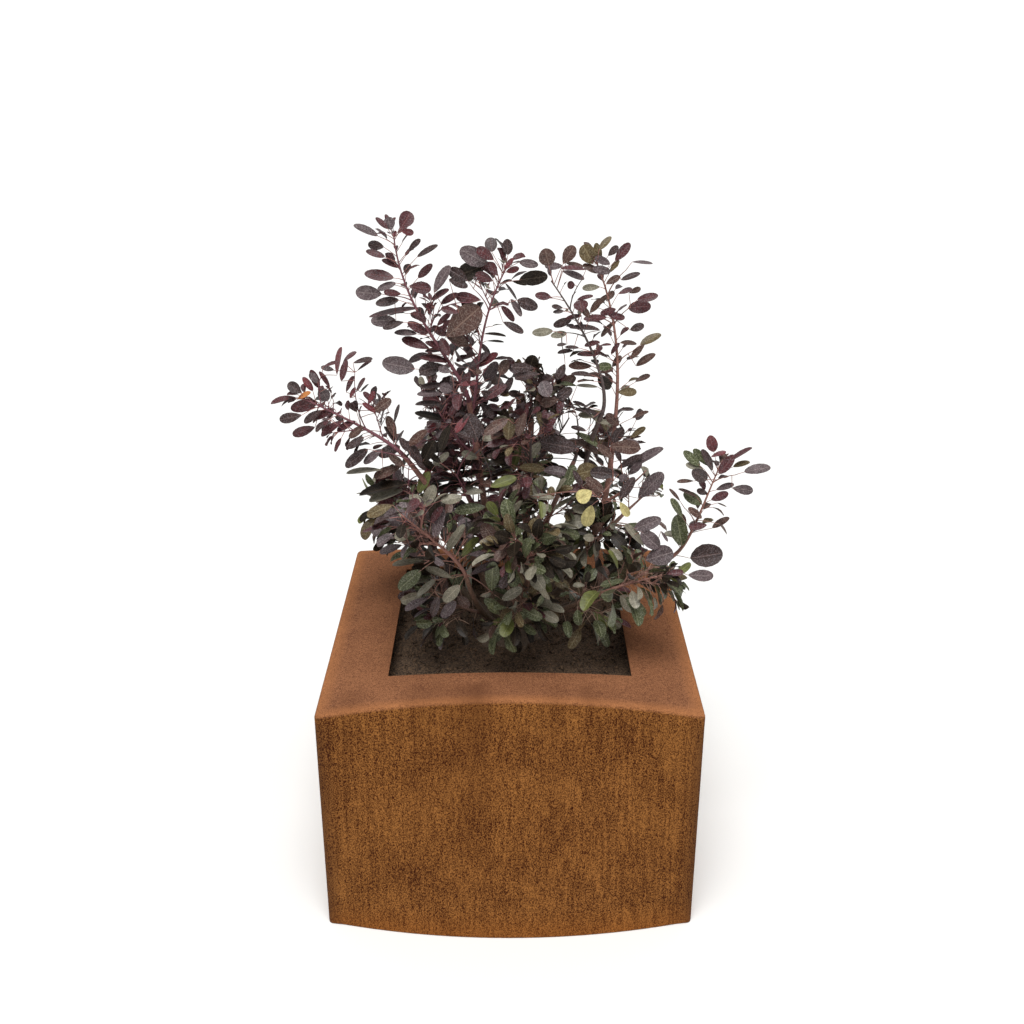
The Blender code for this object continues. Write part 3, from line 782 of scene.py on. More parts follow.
@dataclass
class Limb:
    """A limb that leaves its start along a heading and bends to its tip, tapering evenly.

    It bends round one knee, or, where it has an arrival direction, it turns early from its
    heading and reaches its tip along the arrival.
    """

    name: str
    start: Vector
    heading: Vector
    tip: Vector
    foot: float
    end: float
    handle: float = 0.45
    steps: int = 18
    arrival: Vector | None = None
    near_handle: float = 0.20
    far_handle: float = 0.45
    points: list[Vector] = field(default_factory=list)
    tangents: list[Vector] = field(default_factory=list)

    def __post_init__(self) -> None:
        """Work out the curve's two handles, and its points and tangents."""
        length = (self.tip - self.start).length
        knee = self.start + self.heading * length * self.handle
        self.near, self.far = self.start.lerp(knee, 2 / 3), self.tip.lerp(knee, 2 / 3)
        if self.arrival:
            self.near = self.start + self.heading * length * self.near_handle
            self.far = self.tip - self.arrival * length * self.far_handle
        for i in range(self.steps + 1):
            t = i / self.steps
            a, b = self.start.lerp(self.near, t), self.near.lerp(self.far, t)
            b, c = (a.lerp(b, t)), b.lerp(self.far.lerp(self.tip, t), t)
            self.points.append(b.lerp(c, t))
            self.tangents.append((c - b).normalized())

    def length(self) -> float:
        """Length of the centre line."""
        return sum((b - a).length for a, b in zip(self.points, self.points[1:]))

    def radius(self, share: float) -> float:
        """Radius at a share of the limb."""
        return self.foot + (self.end - self.foot) * share

    def at(self, share: float) -> tuple[Vector, Vector]:
        """Point and tangent at a share of the limb."""
        place = min(max(share, 0.0), 1.0) * self.steps
        i = min(int(place), self.steps - 1)
        f = place - i
        tangent = self.tangents[i].lerp(self.tangents[i + 1], f).normalized()
        return self.points[i].lerp(self.points[i + 1], f), tangent


def tube(points: list[Vector], radii: list[float], sides: int) -> tuple[np.ndarray, list]:
    """Vertices and faces of a closed tapering tube round a line.

    Args:
        points: The centre line.
        radii: Radius at each point.
        sides: Number of sides.

    Returns:
        Vertices of shape (n, 3), and the vertex numbers of each face.
    """
    line = np.array([tuple(p) for p in points])
    along = np.gradient(line, axis=0)
    along /= np.linalg.norm(along, axis=1)[:, None]
    side = np.array(Vector(along[0]).orthogonal().normalized())
    angles = np.arange(sides) * 2 * math.pi / sides
    rings = []
    for point, tangent, radius in zip(line, along, radii):
        side = side - tangent * side.dot(tangent)
        side /= np.linalg.norm(side)
        other = np.cross(tangent, side)
        rings.append(point + radius * (np.outer(np.cos(angles), side) + np.outer(np.sin(angles), other)))
    verts = np.concatenate([*rings, line[:1], line[-1:]])
    faces = []
    for k in range(len(line) - 1):
        for i in range(sides):
            j = (i + 1) % sides
            faces.append((k * sides + i, k * sides + j, (k + 1) * sides + j, (k + 1) * sides + i))
    first, last, top = len(verts) - 2, len(verts) - 1, (len(line) - 1) * sides
    for i in range(sides):
        j = (i + 1) % sides
        faces += [(first, j, i), (last, top + i, top + j)]
    return verts, faces


@dataclass(frozen=True)
class StemPlan:
    """A stem of the shrub: its node's name, foot, tip and radii."""

    node: str
    azimuth: float
    rise: float
    tip: tuple[float, float, float]
    foot: float
    end: float
    parent: str = ""
    share: float = 0.0
    bark: Bark = Bark.STEM


STEMS = (
    StemPlan("stem_tall_left", 148, 80, (-0.066, 0.015, 0.800), 0.0072, 0.0044),
    StemPlan("stem_tall_right", 12, 30, (0.172, 0.045, 0.700), 0.0072, 0.0044),
    StemPlan("stem_centre", 5, 84, (0.035, 0.020, 0.770), 0.0072, 0.0044),
    StemPlan("stem_left", 190, 74, (-0.169, -0.060, 0.735), 0.0064, 0.0040),
    StemPlan("stem_front_left", 238, 35, (-0.070, -0.125, 0.552), 0.0060, 0.0038),
    StemPlan("stem_right", 352, 20, (0.273, -0.035, 0.545), 0.0062, 0.0038),
    StemPlan("stem_front", 285, 52, (0.035, -0.130, 0.575), 0.0060, 0.0038),
    StemPlan("stem_front_right", 318, 32, (0.150, -0.120, 0.520), 0.0058, 0.0036),
    StemPlan("stem_back_left", 112, 60, (-0.110, 0.150, 0.660), 0.0064, 0.0040),
    StemPlan("stem_back_right", 62, 58, (0.115, 0.160, 0.640), 0.0064, 0.0040),
    StemPlan("stem_back", 88, 36, (0.000, 0.200, 0.530), 0.0058, 0.0036),
    StemPlan("stem_left_low", 165, 32, (-0.140, 0.070, 0.530), 0.0058, 0.0036),
    StemPlan("stem_right_back", 36, 30, (0.200, 0.140, 0.540), 0.0058, 0.0036),
    StemPlan("stem_right_inner", 205, 62, (0.149, -0.015, 0.790), 0.0048, 0.0036,
             parent="stem_tall_right", share=0.62, bark=Bark.DARK_STEM),
)


@dataclass(frozen=True)
class SprayPlan:
    """A spray of foliage: its node, its stem, its way, its reach and how it is leaved.

    A spray goes on from its stem's tip, or leaves the stem's side at a share of its length, at
    an azimuth and rise, for a length. Where it has a tip and an arrival, its end follows them.
    The more level a spray is, the more its blades lie flat and face the sky.
    """

    node: str
    stem: str
    tint: Tint
    reach: float
    twigs: int
    blade: float
    spacing: float
    tip: tuple[float, float, float] | None = None
    share: float = 1.0
    azimuth: float = 0.0
    rise: float = 0.0
    length: float = 0.0
    arrival: Pair | None = None
    level: float = 0.9


def side(node: str, stem: str, tint: Tint, way: tuple[float, float, float, float], reach: float,
         twigs: int, blade: float, spacing: float) -> SprayPlan:
    """Plan a spray on a stem's side. The way is its share, azimuth, rise and length."""
    share, azimuth, rise, length = way
    return SprayPlan(node, stem, tint, reach, twigs, blade, spacing, None, share, azimuth, rise,
                     length)


SPRAYS = (
    SprayPlan("leaves_top_left", "stem_tall_left", Tint.RED, 0.080, 1, 0.030, 0.0075,
              (-0.178, 0.000, 1.079), arrival=(180, 87), level=2.0),
    SprayPlan("leaves_top_right", "stem_tall_right", Tint.BRONZE, 0.074, 0, 0.030, 0.0110,
              (0.135, 0.050, 1.028), arrival=(180, 66), level=2.0),
    SprayPlan("leaves_inner_right", "stem_right_inner", Tint.DUSK, 0.066, 0, 0.026, 0.0100,
              (0.064, -0.020, 1.007), arrival=(180, 54), level=2.0),
    SprayPlan("leaves_centre_top", "stem_centre", Tint.DUSK, 0.080, 6, 0.038, 0.0045,
              (0.036, 0.005, 0.828)),
    SprayPlan("leaves_left", "stem_left", Tint.RED, 0.078, 3, 0.030, 0.0075,
              (-0.325, -0.060, 0.832), arrival=(184, 28), level=2.0),
    SprayPlan("leaves_front_left", "stem_front_left", Tint.GREY, 0.088, 7, 0.046, 0.0054,
              (-0.161, -0.225, 0.704), arrival=(228, 45)),
    SprayPlan("leaves_far_right", "stem_right", Tint.BRONZE, 0.086, 0, 0.032, 0.0140,
              (0.340, -0.040, 0.708), arrival=(0, 71), level=2.0),
    SprayPlan("leaves_front", "stem_front", Tint.SHADE, 0.095, 7, 0.046, 0.0046,
              (0.010, -0.190, 0.645)),
    SprayPlan("leaves_front_right", "stem_front_right", Tint.GREEN, 0.088, 5, 0.040, 0.0050,
              (0.235, -0.160, 0.570)),
    SprayPlan("leaves_back_left", "stem_back_left", Tint.PURPLE, 0.070, 7, 0.040, 0.0042,
              (-0.140, 0.200, 0.750)),
    SprayPlan("leaves_back_right", "stem_back_right", Tint.DUSK, 0.070, 7, 0.040, 0.0044,
              (0.120, 0.195, 0.715)),
    SprayPlan("leaves_back", "stem_back", Tint.SHADE, 0.095, 8, 0.042, 0.0042,
              (0.000, 0.290, 0.610)),
    SprayPlan("leaves_left_low", "stem_left_low", Tint.SHADE, 0.090, 8, 0.046, 0.0042,
              (-0.215, 0.105, 0.600)),
    SprayPlan("leaves_right_back", "stem_right_back", Tint.GREEN, 0.070, 7, 0.042, 0.0048,
              (0.255, 0.180, 0.575)),
    SprayPlan("leaves_top_middle", "stem_tall_left", Tint.PURPLE, 0.080, 5, 0.036, 0.0048,
              (-0.002, 0.015, 1.025), 0.94, 20, 74, 0.200, arrival=(10, 60)),
    side("leaves_shoulder_left", "stem_tall_left", Tint.RED, (0.76, 212, 42, 0.120), 0.050, 3,
         0.034, 0.0052),
    side("leaves_mid_left", "stem_tall_left", Tint.PURPLE, (0.50, 238, 38, 0.140), 0.090, 8,
         0.046, 0.0038),
    side("leaves_behind_left", "stem_tall_left", Tint.PURPLE, (0.60, 118, 48, 0.140), 0.080, 7,
         0.042, 0.0040),
    side("leaves_mid_front", "stem_centre", Tint.DUSK, (0.72, 272, 46, 0.140), 0.090, 7,
         0.045, 0.0041),
    side("leaves_mid_right", "stem_centre", Tint.DUSK, (0.78, 340, 44, 0.120), 0.085, 6,
         0.040, 0.0044),
    side("leaves_low_centre", "stem_centre", Tint.SHADE, (0.44, 308, 34, 0.140), 0.090, 8,
         0.046, 0.0040),
    side("leaves_behind_centre", "stem_centre", Tint.SHADE, (0.62, 82, 46, 0.140), 0.090, 8,
         0.042, 0.0038),
    side("leaves_outer_right", "stem_tall_right", Tint.BRONZE, (0.78, 338, 30, 0.105), 0.060, 1,
         0.048, 0.0150),
    side("leaves_low_right", "stem_tall_right", Tint.SHADE, (0.50, 285, 32, 0.120), 0.085, 7,
         0.042, 0.0042),
    side("leaves_behind_right", "stem_tall_right", Tint.DUSK, (0.84, 78, 42, 0.120), 0.068, 2,
         0.040, 0.0100),
    side("leaves_arm_left", "stem_left", Tint.RED, (0.60, 205, 28, 0.105), 0.078, 3,
         0.042, 0.0055),
    side("leaves_foot_left", "stem_front_left", Tint.GREY, (0.40, 192, 14, 0.115), 0.080, 4,
         0.046, 0.0055),
    side("leaves_foot_front", "stem_front", Tint.GREEN, (0.34, 262, 12, 0.105), 0.080, 4,
         0.044, 0.0055),
    side("leaves_foot_right", "stem_front_right", Tint.GREEN, (0.42, 345, 10, 0.115), 0.080, 3,
         0.044, 0.0060),
    side("leaves_foot_back", "stem_back", Tint.GREEN, (0.42, 132, 12, 0.110), 0.080, 4,
         0.044, 0.0055),
)


@dataclass(frozen=True)
class MarkedLeaf:
    """A leaf that stands out in the photograph: pixels of its blade's foot and tip.

    The width is the blade's as it shows, in millimetres. Its spray's stem carries it, and it
    stands forward of the stem by a distance in metres.
    """

    foot: Pair
    tip: Pair
    width: float
    kind: Leaf
    forward: float


# Each spray's marked leaves: the kind, the distance forward, and for each leaf its foot x, foot y,
# tip x, tip y and width
# Some marked leaves take the near-black kind as painted shade, or the pale grey-green kind as a painted
# highlight.
MARKED_LEAVES = {
    "leaves_top_left": (
        (Leaf.WINE, 0, (446, 336, 432, 326, 13), (400, 229, 411, 212, 24), (388, 229, 376, 217, 9),
         (385, 257, 366, 250, 11), (399, 268, 382, 258, 11), (394, 278, 364, 272, 18),
         (401, 294, 384, 292, 12), (421, 308, 368, 313, 10), (428, 334, 408, 322, 15),
         (430, 349, 402, 337, 17), (418, 278, 432, 264, 13), (409, 286, 431, 289, 20),
         (431, 300, 448, 289, 10), (441, 304, 458, 293, 12), (481, 300, 455, 296, 18),
         (459, 313, 441, 308, 12), (449, 356, 441, 338, 16), (426, 322, 416, 313, 12),
         (437, 326, 450, 313, 10), (450, 353, 426, 341, 12), (456, 346, 446, 331, 8),
         (450, 362, 420, 356, 11), (449, 349, 425, 350, 8)),
        (Leaf.CLARET, 0, (401, 231, 414, 233, 11)),
        (Leaf.GREY_PLUM, 0, (391, 230, 388, 217, 18), (378, 236, 354, 224, 12),
         (382, 294, 355, 292, 24), (396, 320, 371, 321, 20), (417, 334, 394, 331, 11),
         (434, 293, 449, 265, 17), (428, 354, 408, 361, 13), (396, 283, 377, 289, 12),
         (442, 394, 417, 393, 11), (456, 384, 440, 389, 14), (415, 369, 382, 362, 30)),
        (Leaf.PLUM, 0, (399, 300, 375, 303, 15), (384, 247, 368, 244, 15), (404, 322, 382, 327, 13),
         (417, 257, 437, 244, 9), (408, 251, 420, 239, 10), (449, 279, 468, 287, 14),
         (444, 365, 419, 372, 22), (447, 384, 420, 386, 10), (443, 404, 415, 403, 9)),
        (Leaf.NIGHT, 0, (444, 419, 415, 411, 12)),
    ),
    "leaves_top_middle": (
        (Leaf.PLUM, 0, (504, 394, 512, 377, 12), (492, 252, 490, 237, 20), (508, 255, 507, 239, 17),
         (468, 281, 449, 269, 20), (517, 300, 538, 308, 20), (503, 322, 524, 332, 13),
         (505, 283, 518, 299, 5), (478, 342, 491, 354, 9), (481, 391, 499, 401, 15),
         (480, 402, 494, 418, 14)),
        (Leaf.CLARET, 0, (478, 367, 497, 353, 13), (506, 272, 519, 268, 11), (504, 270, 513, 258, 8)),
        (Leaf.GREY_PLUM, 0, (485, 382, 497, 362, 20), (468, 368, 488, 352, 12),
         (487, 264, 460, 249, 30), (519, 262, 538, 265, 14), (511, 299, 522, 316, 11)),
        (Leaf.UMBER, 0, (500, 375, 507, 360, 18)),
        (Leaf.WINE, 0, (481, 400, 506, 384, 18), (494, 260, 477, 248, 18), (493, 281, 476, 274, 16),
         (501, 306, 515, 321, 12), (498, 276, 488, 262, 13)),
        (Leaf.NIGHT, 0, (482, 267, 459, 275, 30), (519, 280, 548, 276, 24), (512, 281, 527, 284, 7),
         (484, 334, 506, 335, 5), (486, 341, 504, 341, 4)),
        (Leaf.UMBER, 0.02, (446, 337, 480, 307, 44), (470, 346, 450, 336, 20)),
    ),
    "leaves_inner_right": (
        (Leaf.UMBER, 0, (549, 266, 545, 249, 26), (563, 264, 574, 246, 20), (592, 366, 569, 365, 13),
         (590, 318, 580, 305, 11), (566, 263, 584, 266, 8)),
        (Leaf.GREY_PLUM, 0, (563, 266, 545, 266, 12), (562, 271, 585, 278, 11)),
        (Leaf.WINE, 0, (586, 270, 561, 267, 8), (551, 297, 535, 295, 13), (575, 285, 567, 285, 13),
         (582, 312, 580, 300, 24), (577, 300, 593, 295, 7), (582, 316, 565, 318, 8),
         (600, 354, 577, 353, 9), (600, 342, 584, 345, 9)),
        (Leaf.SILVER, 0, (553, 331, 532, 333, 14), (567, 333, 551, 336, 12), (594, 417, 578, 414, 11),
         (598, 387, 577, 384, 6), (592, 418, 609, 423, 9)),
        (Leaf.PLUM, 0, (563, 308, 552, 306, 8), (564, 311, 553, 312, 7), (572, 319, 553, 326, 14),
         (600, 330, 570, 326, 9), (567, 344, 557, 345, 6), (579, 348, 565, 346, 6),
         (573, 351, 557, 352, 8), (565, 364, 557, 379, 14), (592, 375, 571, 373, 8),
         (587, 407, 573, 401, 6), (598, 413, 575, 408, 8), (586, 431, 571, 426, 8),
         (556, 400, 572, 388, 18)),
        (Leaf.SAGE, 0, (596, 367, 612, 366, 14), (577, 386, 560, 382, 7)),
        (Leaf.NIGHT, 0, (598, 377, 611, 389, 18)),
    ),
    "leaves_top_right": (
        (Leaf.OLIVE, 0, (593, 264, 583, 245, 27), (599, 250, 611, 236, 11), (640, 345, 661, 333, 14),
         (617, 392, 637, 392, 15), (630, 438, 645, 427, 11), (600, 260, 596, 243, 13)),
        (Leaf.WINE, 0, (615, 261, 630, 243, 16), (618, 294, 632, 288, 9), (637, 300, 658, 295, 14),
         (628, 308, 651, 306, 22), (616, 309, 600, 314, 12), (608, 315, 625, 318, 12),
         (607, 317, 584, 318, 11), (611, 354, 619, 343, 8)),
        (Leaf.GREY_PLUM, 0, (610, 264, 595, 257, 13), (592, 268, 611, 272, 14),
         (632, 262, 653, 262, 6)),
        (Leaf.PLUM, 0, (621, 280, 640, 272, 10), (608, 256, 618, 246, 12), (630, 330, 644, 325, 14),
         (618, 410, 634, 408, 7)),
        (Leaf.UMBER, 0, (606, 284, 620, 276, 12), (606, 301, 614, 291, 11), (590, 313, 601, 299, 12),
         (629, 293, 641, 288, 10), (620, 343, 637, 342, 9), (645, 344, 631, 357, 11),
         (636, 366, 655, 353, 13), (635, 382, 650, 374, 10), (612, 367, 621, 356, 12),
         (632, 418, 648, 411, 7), (619, 425, 606, 414, 17), (600, 273, 583, 264, 12),
         (596, 307, 608, 294, 9), (615, 321, 600, 336, 9), (599, 373, 613, 368, 10)),
        (Leaf.SILVER, 0, (600, 287, 582, 288, 12)),
    ),
    "leaves_left": (
        (Leaf.PLUM, 0, (301, 393, 288, 383, 18), (302, 415, 279, 420, 17), (353, 363, 372, 358, 8),
         (364, 437, 347, 448, 13), (322, 410, 303, 422, 13), (361, 392, 368, 383, 4),
         (394, 424, 398, 404, 6), (396, 443, 403, 430, 4), (395, 443, 385, 426, 8)),
        (Leaf.GREY_PLUM, 0, (328, 401, 320, 389, 20), (318, 383, 310, 373, 12),
         (334, 370, 321, 367, 9)),
        (Leaf.WINE, 0, (295, 397, 270, 402, 10), (318, 402, 290, 409, 20), (315, 427, 292, 435, 17),
         (335, 409, 314, 418, 13), (343, 421, 320, 435, 13), (356, 421, 336, 430, 12),
         (341, 381, 346, 360, 11), (343, 362, 356, 351, 8), (319, 388, 311, 370, 13),
         (346, 392, 353, 376, 8), (356, 392, 364, 378, 6), (330, 388, 320, 371, 8),
         (357, 371, 371, 360, 5), (323, 367, 338, 361, 6)),
        (Leaf.CLARET, 0, (337, 375, 340, 347, 9), (313, 391, 303, 377, 11), (368, 405, 374, 391, 9),
         (350, 398, 355, 387, 7), (376, 413, 363, 403, 9)),
        (Leaf.SCORCHED, 0, (297, 399, 310, 392, 8)),
        (Leaf.UMBER, 0, (375, 411, 391, 399, 17), (396, 439, 388, 416, 15), (363, 426, 349, 438, 13)),
    ),
    "leaves_arm_left": (
        (Leaf.PLUM, 0, (410, 452, 400, 438, 13), (426, 470, 417, 462, 9), (368, 449, 345, 467, 19),
         (422, 464, 406, 441, 17), (400, 446, 378, 456, 19)),
        (Leaf.GREY_PLUM, 0, (382, 449, 363, 463, 14)),
        (Leaf.UMBER, 0, (402, 466, 373, 476, 17), (408, 446, 426, 430, 15), (404, 466, 389, 455, 13)),
        (Leaf.NIGHT, 0, (408, 484, 358, 492, 17), (423, 461, 434, 441, 22), (437, 472, 420, 458, 13)),
        (Leaf.SILVER, 0, (383, 470, 346, 471, 10), (404, 490, 368, 499, 16),
         (434, 467, 448, 452, 11)),
        (Leaf.MOSS, 0, (418, 493, 429, 472, 17)),
    ),
    "leaves_front_left": (
        (Leaf.OLIVE, 0, (393, 505, 366, 515, 17)),
        (Leaf.MOSS, 0, (461, 556, 477, 538, 13)),
        (Leaf.SILVER, 0, (424, 507, 434, 486, 19), (446, 552, 463, 524, 15), (460, 585, 443, 602, 20),
         (502, 600, 522, 588, 17), (480, 596, 491, 594, 8), (436, 580, 415, 595, 12),
         (452, 578, 426, 567, 13), (425, 560, 392, 563, 11)),
        (Leaf.GREY_PLUM, 0, (434, 538, 442, 507, 18), (470, 575, 499, 561, 13),
         (402, 545, 379, 552, 13), (429, 598, 404, 609, 14), (456, 601, 441, 618, 18)),
        (Leaf.SAGE, 0, (421, 570, 398, 590, 24), (491, 592, 493, 563, 24)),
        (Leaf.WINE, 0, (388, 526, 362, 530, 7), (431, 522, 442, 507, 12)),
        (Leaf.PLUM, 0, (439, 597, 431, 617, 15)),
    ),
    "leaves_shoulder_left": (
        (Leaf.CLARET, 0, (458, 385, 477, 382, 9)),
        (Leaf.WINE, 0, (461, 392, 469, 373, 14)),
        (Leaf.GREY_PLUM, 0, (452, 372, 438, 368, 12), (453, 391, 440, 386, 18)),
    ),
    "leaves_mid_left": (
        (Leaf.NIGHT, 0, (441, 463, 429, 453, 11)),
        (Leaf.PLUM, 0.03, (478, 440, 467, 414, 28)),
        (Leaf.CLARET, 0.04, (470, 414, 455, 432, 12)),
        (Leaf.NIGHT, 0.03, (451, 424, 438, 452, 16)),
    ),
    "leaves_mid_front": (
        (Leaf.NIGHT, 0.02, (484, 471, 432, 478, 14), (480, 461, 440, 469, 10), (482, 485, 432, 487, 12)),
        (Leaf.MOSS, 0.08, (490, 487, 516, 477, 17)),
        (Leaf.PLUM, 0.03, (478, 442, 455, 430, 14), (484, 436, 470, 414, 17)),
        (Leaf.WINE, 0.03, (486, 446, 505, 440, 12)),
        (Leaf.UMBER, 0.03, (508, 419, 484, 434, 18), (526, 412, 516, 436, 16)),
        (Leaf.OLIVE, 0.03, (508, 440, 510, 418, 20), (546, 469, 520, 466, 15)),
        (Leaf.MOSS, 0.03, (513, 470, 519, 446, 12)),
        (Leaf.SILVER, 0.03, (478, 458, 462, 453, 15), (484, 492, 462, 490, 14)),
        (Leaf.SAGE, 0.03, (486, 507, 454, 510, 19)),
    ),
    "leaves_mid_right": (
        (Leaf.NIGHT, 0, (588, 461, 577, 449, 11), (528, 372, 534, 356, 22), (576, 456, 569, 441, 8)),
        (Leaf.PLUM, 0.02, (579, 449, 541, 442, 30), (535, 368, 512, 367, 16)),
        (Leaf.PLUM, 0.03, (540, 374, 514, 377, 15)),
        (Leaf.GREY_PLUM, 0.03, (549, 397, 542, 381, 24)),
        (Leaf.SILVER, 0.03, (528, 458, 540, 443, 16)),
        (Leaf.UMBER, 0.03, (559, 399, 540, 404, 18)),
        (Leaf.UMBER, 0, (575, 440, 599, 452, 12)),
        (Leaf.SAGE, 0, (575, 433, 600, 446, 11)),
    ),
    "leaves_low_right": (
        (Leaf.UMBER, 0.03, (603, 498, 591, 489, 13)),
        (Leaf.WITHERED, 0.05, (592, 491, 577, 500, 24), (592, 505, 585, 527, 22),
         (620, 502, 629, 517, 14)),
        (Leaf.PLUM, 0.04, (619, 474, 590, 472, 22)),
        (Leaf.UMBER, 0.04, (604, 492, 586, 478, 17), (613, 458, 598, 445, 13)),
        (Leaf.SILVER, 0.04, (578, 496, 552, 509, 8)),
        (Leaf.OLIVE, 0.02, (600, 468, 577, 474, 30)),
        (Leaf.UMBER, 0.02, (610, 446, 641, 448, 24)),
        (Leaf.PLUM, 0.03, (620, 499, 634, 477, 17), (582, 487, 574, 470, 10)),
        (Leaf.SILVER, 0.07, (530, 497, 554, 497, 11), (512, 521, 536, 510, 10)),
    ),
    "leaves_outer_right": (
        (Leaf.GREY_PLUM, 0, (628, 475, 641, 463, 14), (638, 498, 663, 473, 27),
         (626, 470, 662, 446, 16)),
        (Leaf.PLUM, 0, (621, 462, 616, 449, 10), (612, 443, 623, 428, 19), (617, 469, 642, 454, 13)),
    ),
    "leaves_foot_right": (
        (Leaf.GREY_PLUM, 0, (634, 529, 661, 519, 22), (641, 531, 659, 548, 26),
         (645, 560, 673, 552, 34), (688, 575, 714, 576, 20), (661, 531, 668, 541, 5)),
        (Leaf.SILVER, 0, (644, 546, 626, 524, 13)),
    ),
    "leaves_far_right": (
        (Leaf.CLARET, 0, (714, 452, 710, 436, 19), (711, 457, 726, 451, 8)),
        (Leaf.GREY_PLUM, 0, (744, 472, 771, 466, 17), (732, 488, 754, 491, 17),
         (716, 490, 734, 483, 11)),
        (Leaf.WINE, 0, (724, 465, 751, 446, 8), (719, 474, 734, 455, 18), (711, 500, 728, 493, 15),
         (707, 525, 689, 527, 14)),
        (Leaf.OLIVE, 0, (733, 467, 750, 461, 10)),
        (Leaf.SAGE, 0, (700, 466, 684, 451, 15), (708, 466, 694, 449, 14), (702, 504, 684, 493, 19),
         (683, 518, 672, 499, 12), (682, 546, 677, 516, 28)),
        (Leaf.SILVER, 0, (704, 469, 686, 464, 12), (686, 536, 664, 533, 13)),
        (Leaf.PLUM, 0, (707, 480, 693, 471, 22), (708, 494, 697, 490, 11), (690, 558, 723, 553, 40),
         (713, 470, 703, 450, 12)),
        (Leaf.UMBER, 0, (702, 518, 689, 508, 12), (712, 528, 729, 517, 12), (694, 481, 677, 481, 7),
         (697, 497, 679, 488, 6), (680, 501, 670, 488, 6), (719, 524, 728, 534, 5),
         (717, 503, 727, 506, 3)),
    ),
}


@dataclass(frozen=True)
class SkyGap:
    """An opening that shows sky through the crown: an ellipse in the photograph's pixels."""

    across: float
    down: float
    half_width: float
    half_height: float


SKY_GAPS = tuple(SkyGap(*row) for row in (
    (532, 345, 31, 11), (500, 338, 22, 12), (548, 316, 12, 13), (530, 288, 14, 5), (474, 292, 8, 8),
    (554, 288, 6, 8), (407, 400, 13, 22), (412, 427, 12, 8), (411, 350, 9, 5), (413, 472, 9, 7),
    (377, 463, 10, 4), (366, 418, 6, 8), (533, 428, 6, 6), (566, 459, 13, 6), (553, 481, 5, 5),
    (557, 504, 6, 5), (554, 519, 10, 5), (518, 385, 4, 5), (582, 394, 13, 10), (575, 425, 19, 11),
    (607, 402, 7, 12), (582, 337, 6, 4), (641, 368, 20, 6), (652, 396, 14, 17), (636, 402, 15, 6),
    (652, 425, 14, 9), (628, 421, 7, 6), (676, 473, 13, 36), (648, 506, 24, 10), (636, 475, 7, 7),
    (610, 463, 4, 5), (737, 505, 18, 9), (690, 548, 5, 6), (742, 474, 12, 5), (660, 437, 16, 8),
    (487, 318, 9, 6), (656, 463, 9, 9), (628, 516, 12, 6), (715, 532, 12, 4), (697, 538, 6, 4),
    (550, 366, 6, 8), (366, 503, 9, 7), (634, 491, 5, 9), (668, 520, 5, 6), (483, 344, 6, 7)))

# Limbs that the photograph shows bare, each from a share of its length to another
BARE_LIMBS = {
    "leaves_top_left": (0.10, 0.95), "leaves_top_middle": (0.45, 0.95),
    "leaves_inner_right": (0.0, 1.0), "leaves_top_right": (0.0, 0.95),
    "leaves_left": (0.0, 0.85), "leaves_front_left": (0.0, 1.0), "leaves_far_right": (0.0, 0.95),
    "stem_front_left": (0.35, 1.0), "stem_tall_right": (0.80, 1.0), "stem_left": (0.80, 1.0),
    "stem_right_inner": (0.70, 1.0),
}


class Sight:
    """What the photograph shows unhidden: sky in the gaps, marked leaves and bare limbs.

    Each is an ellipse in the photograph with a distance. Nothing stands in front of it.
    """

    bare_width = 3.5
    bare_steps = 24

    def __init__(self, view: PhotoView) -> None:
        """Start with the gaps, which nothing crosses at any distance."""
        self.view = view
        self.shapes = np.array([(gap.across, gap.down, gap.half_width, gap.half_height, 0.0, math.inf)
                                for gap in SKY_GAPS])

    def keep_blade(self, verts: np.ndarray) -> None:
        """Keep a marked leaf's blade in sight."""
        pixels, away = self.view.seen(verts)
        foot, tip = pixels[-2:]
        angle = math.atan2(*(tip - foot)[::-1])
        across = (pixels - foot) @ (-math.sin(angle), math.cos(angle))
        half = math.dist(foot, tip) / 2, np.ptp(across) / 2
        self.shapes = np.vstack([self.shapes, (*(foot + tip) / 2, *half, angle, away.min())])

    def keep_limb(self, limb: "Limb", shares: Pair) -> None:
        """Keep part of a limb in sight."""
        places = [limb.at(s)[0] for s in np.linspace(*shares, self.bare_steps)]
        pixels, away = self.view.seen(np.array([tuple(p) for p in places]))
        half = (self.bare_width, self.bare_width)
        spots = [(*place, *half, 0.0, distance) for place, distance in zip(pixels, away)]
        self.shapes = np.vstack([self.shapes, spots])

    def allows(self, points: np.ndarray) -> bool:
        """Whether points, of shape (n, 3), leave all that is kept in sight unhidden."""
        pixels, away = self.view.seen(points)
        x, y, long, wide, angle, distance = self.shapes.T
        dx, dy = pixels[:, :1] - x, pixels[:, 1:] - y
        along = (dx * np.cos(angle) + dy * np.sin(angle)) / long
        across = (dy * np.cos(angle) - dx * np.sin(angle)) / wide
        inside = along ** 2 + across ** 2 < 1
        return not (inside & (away[:, None] < distance)).any()


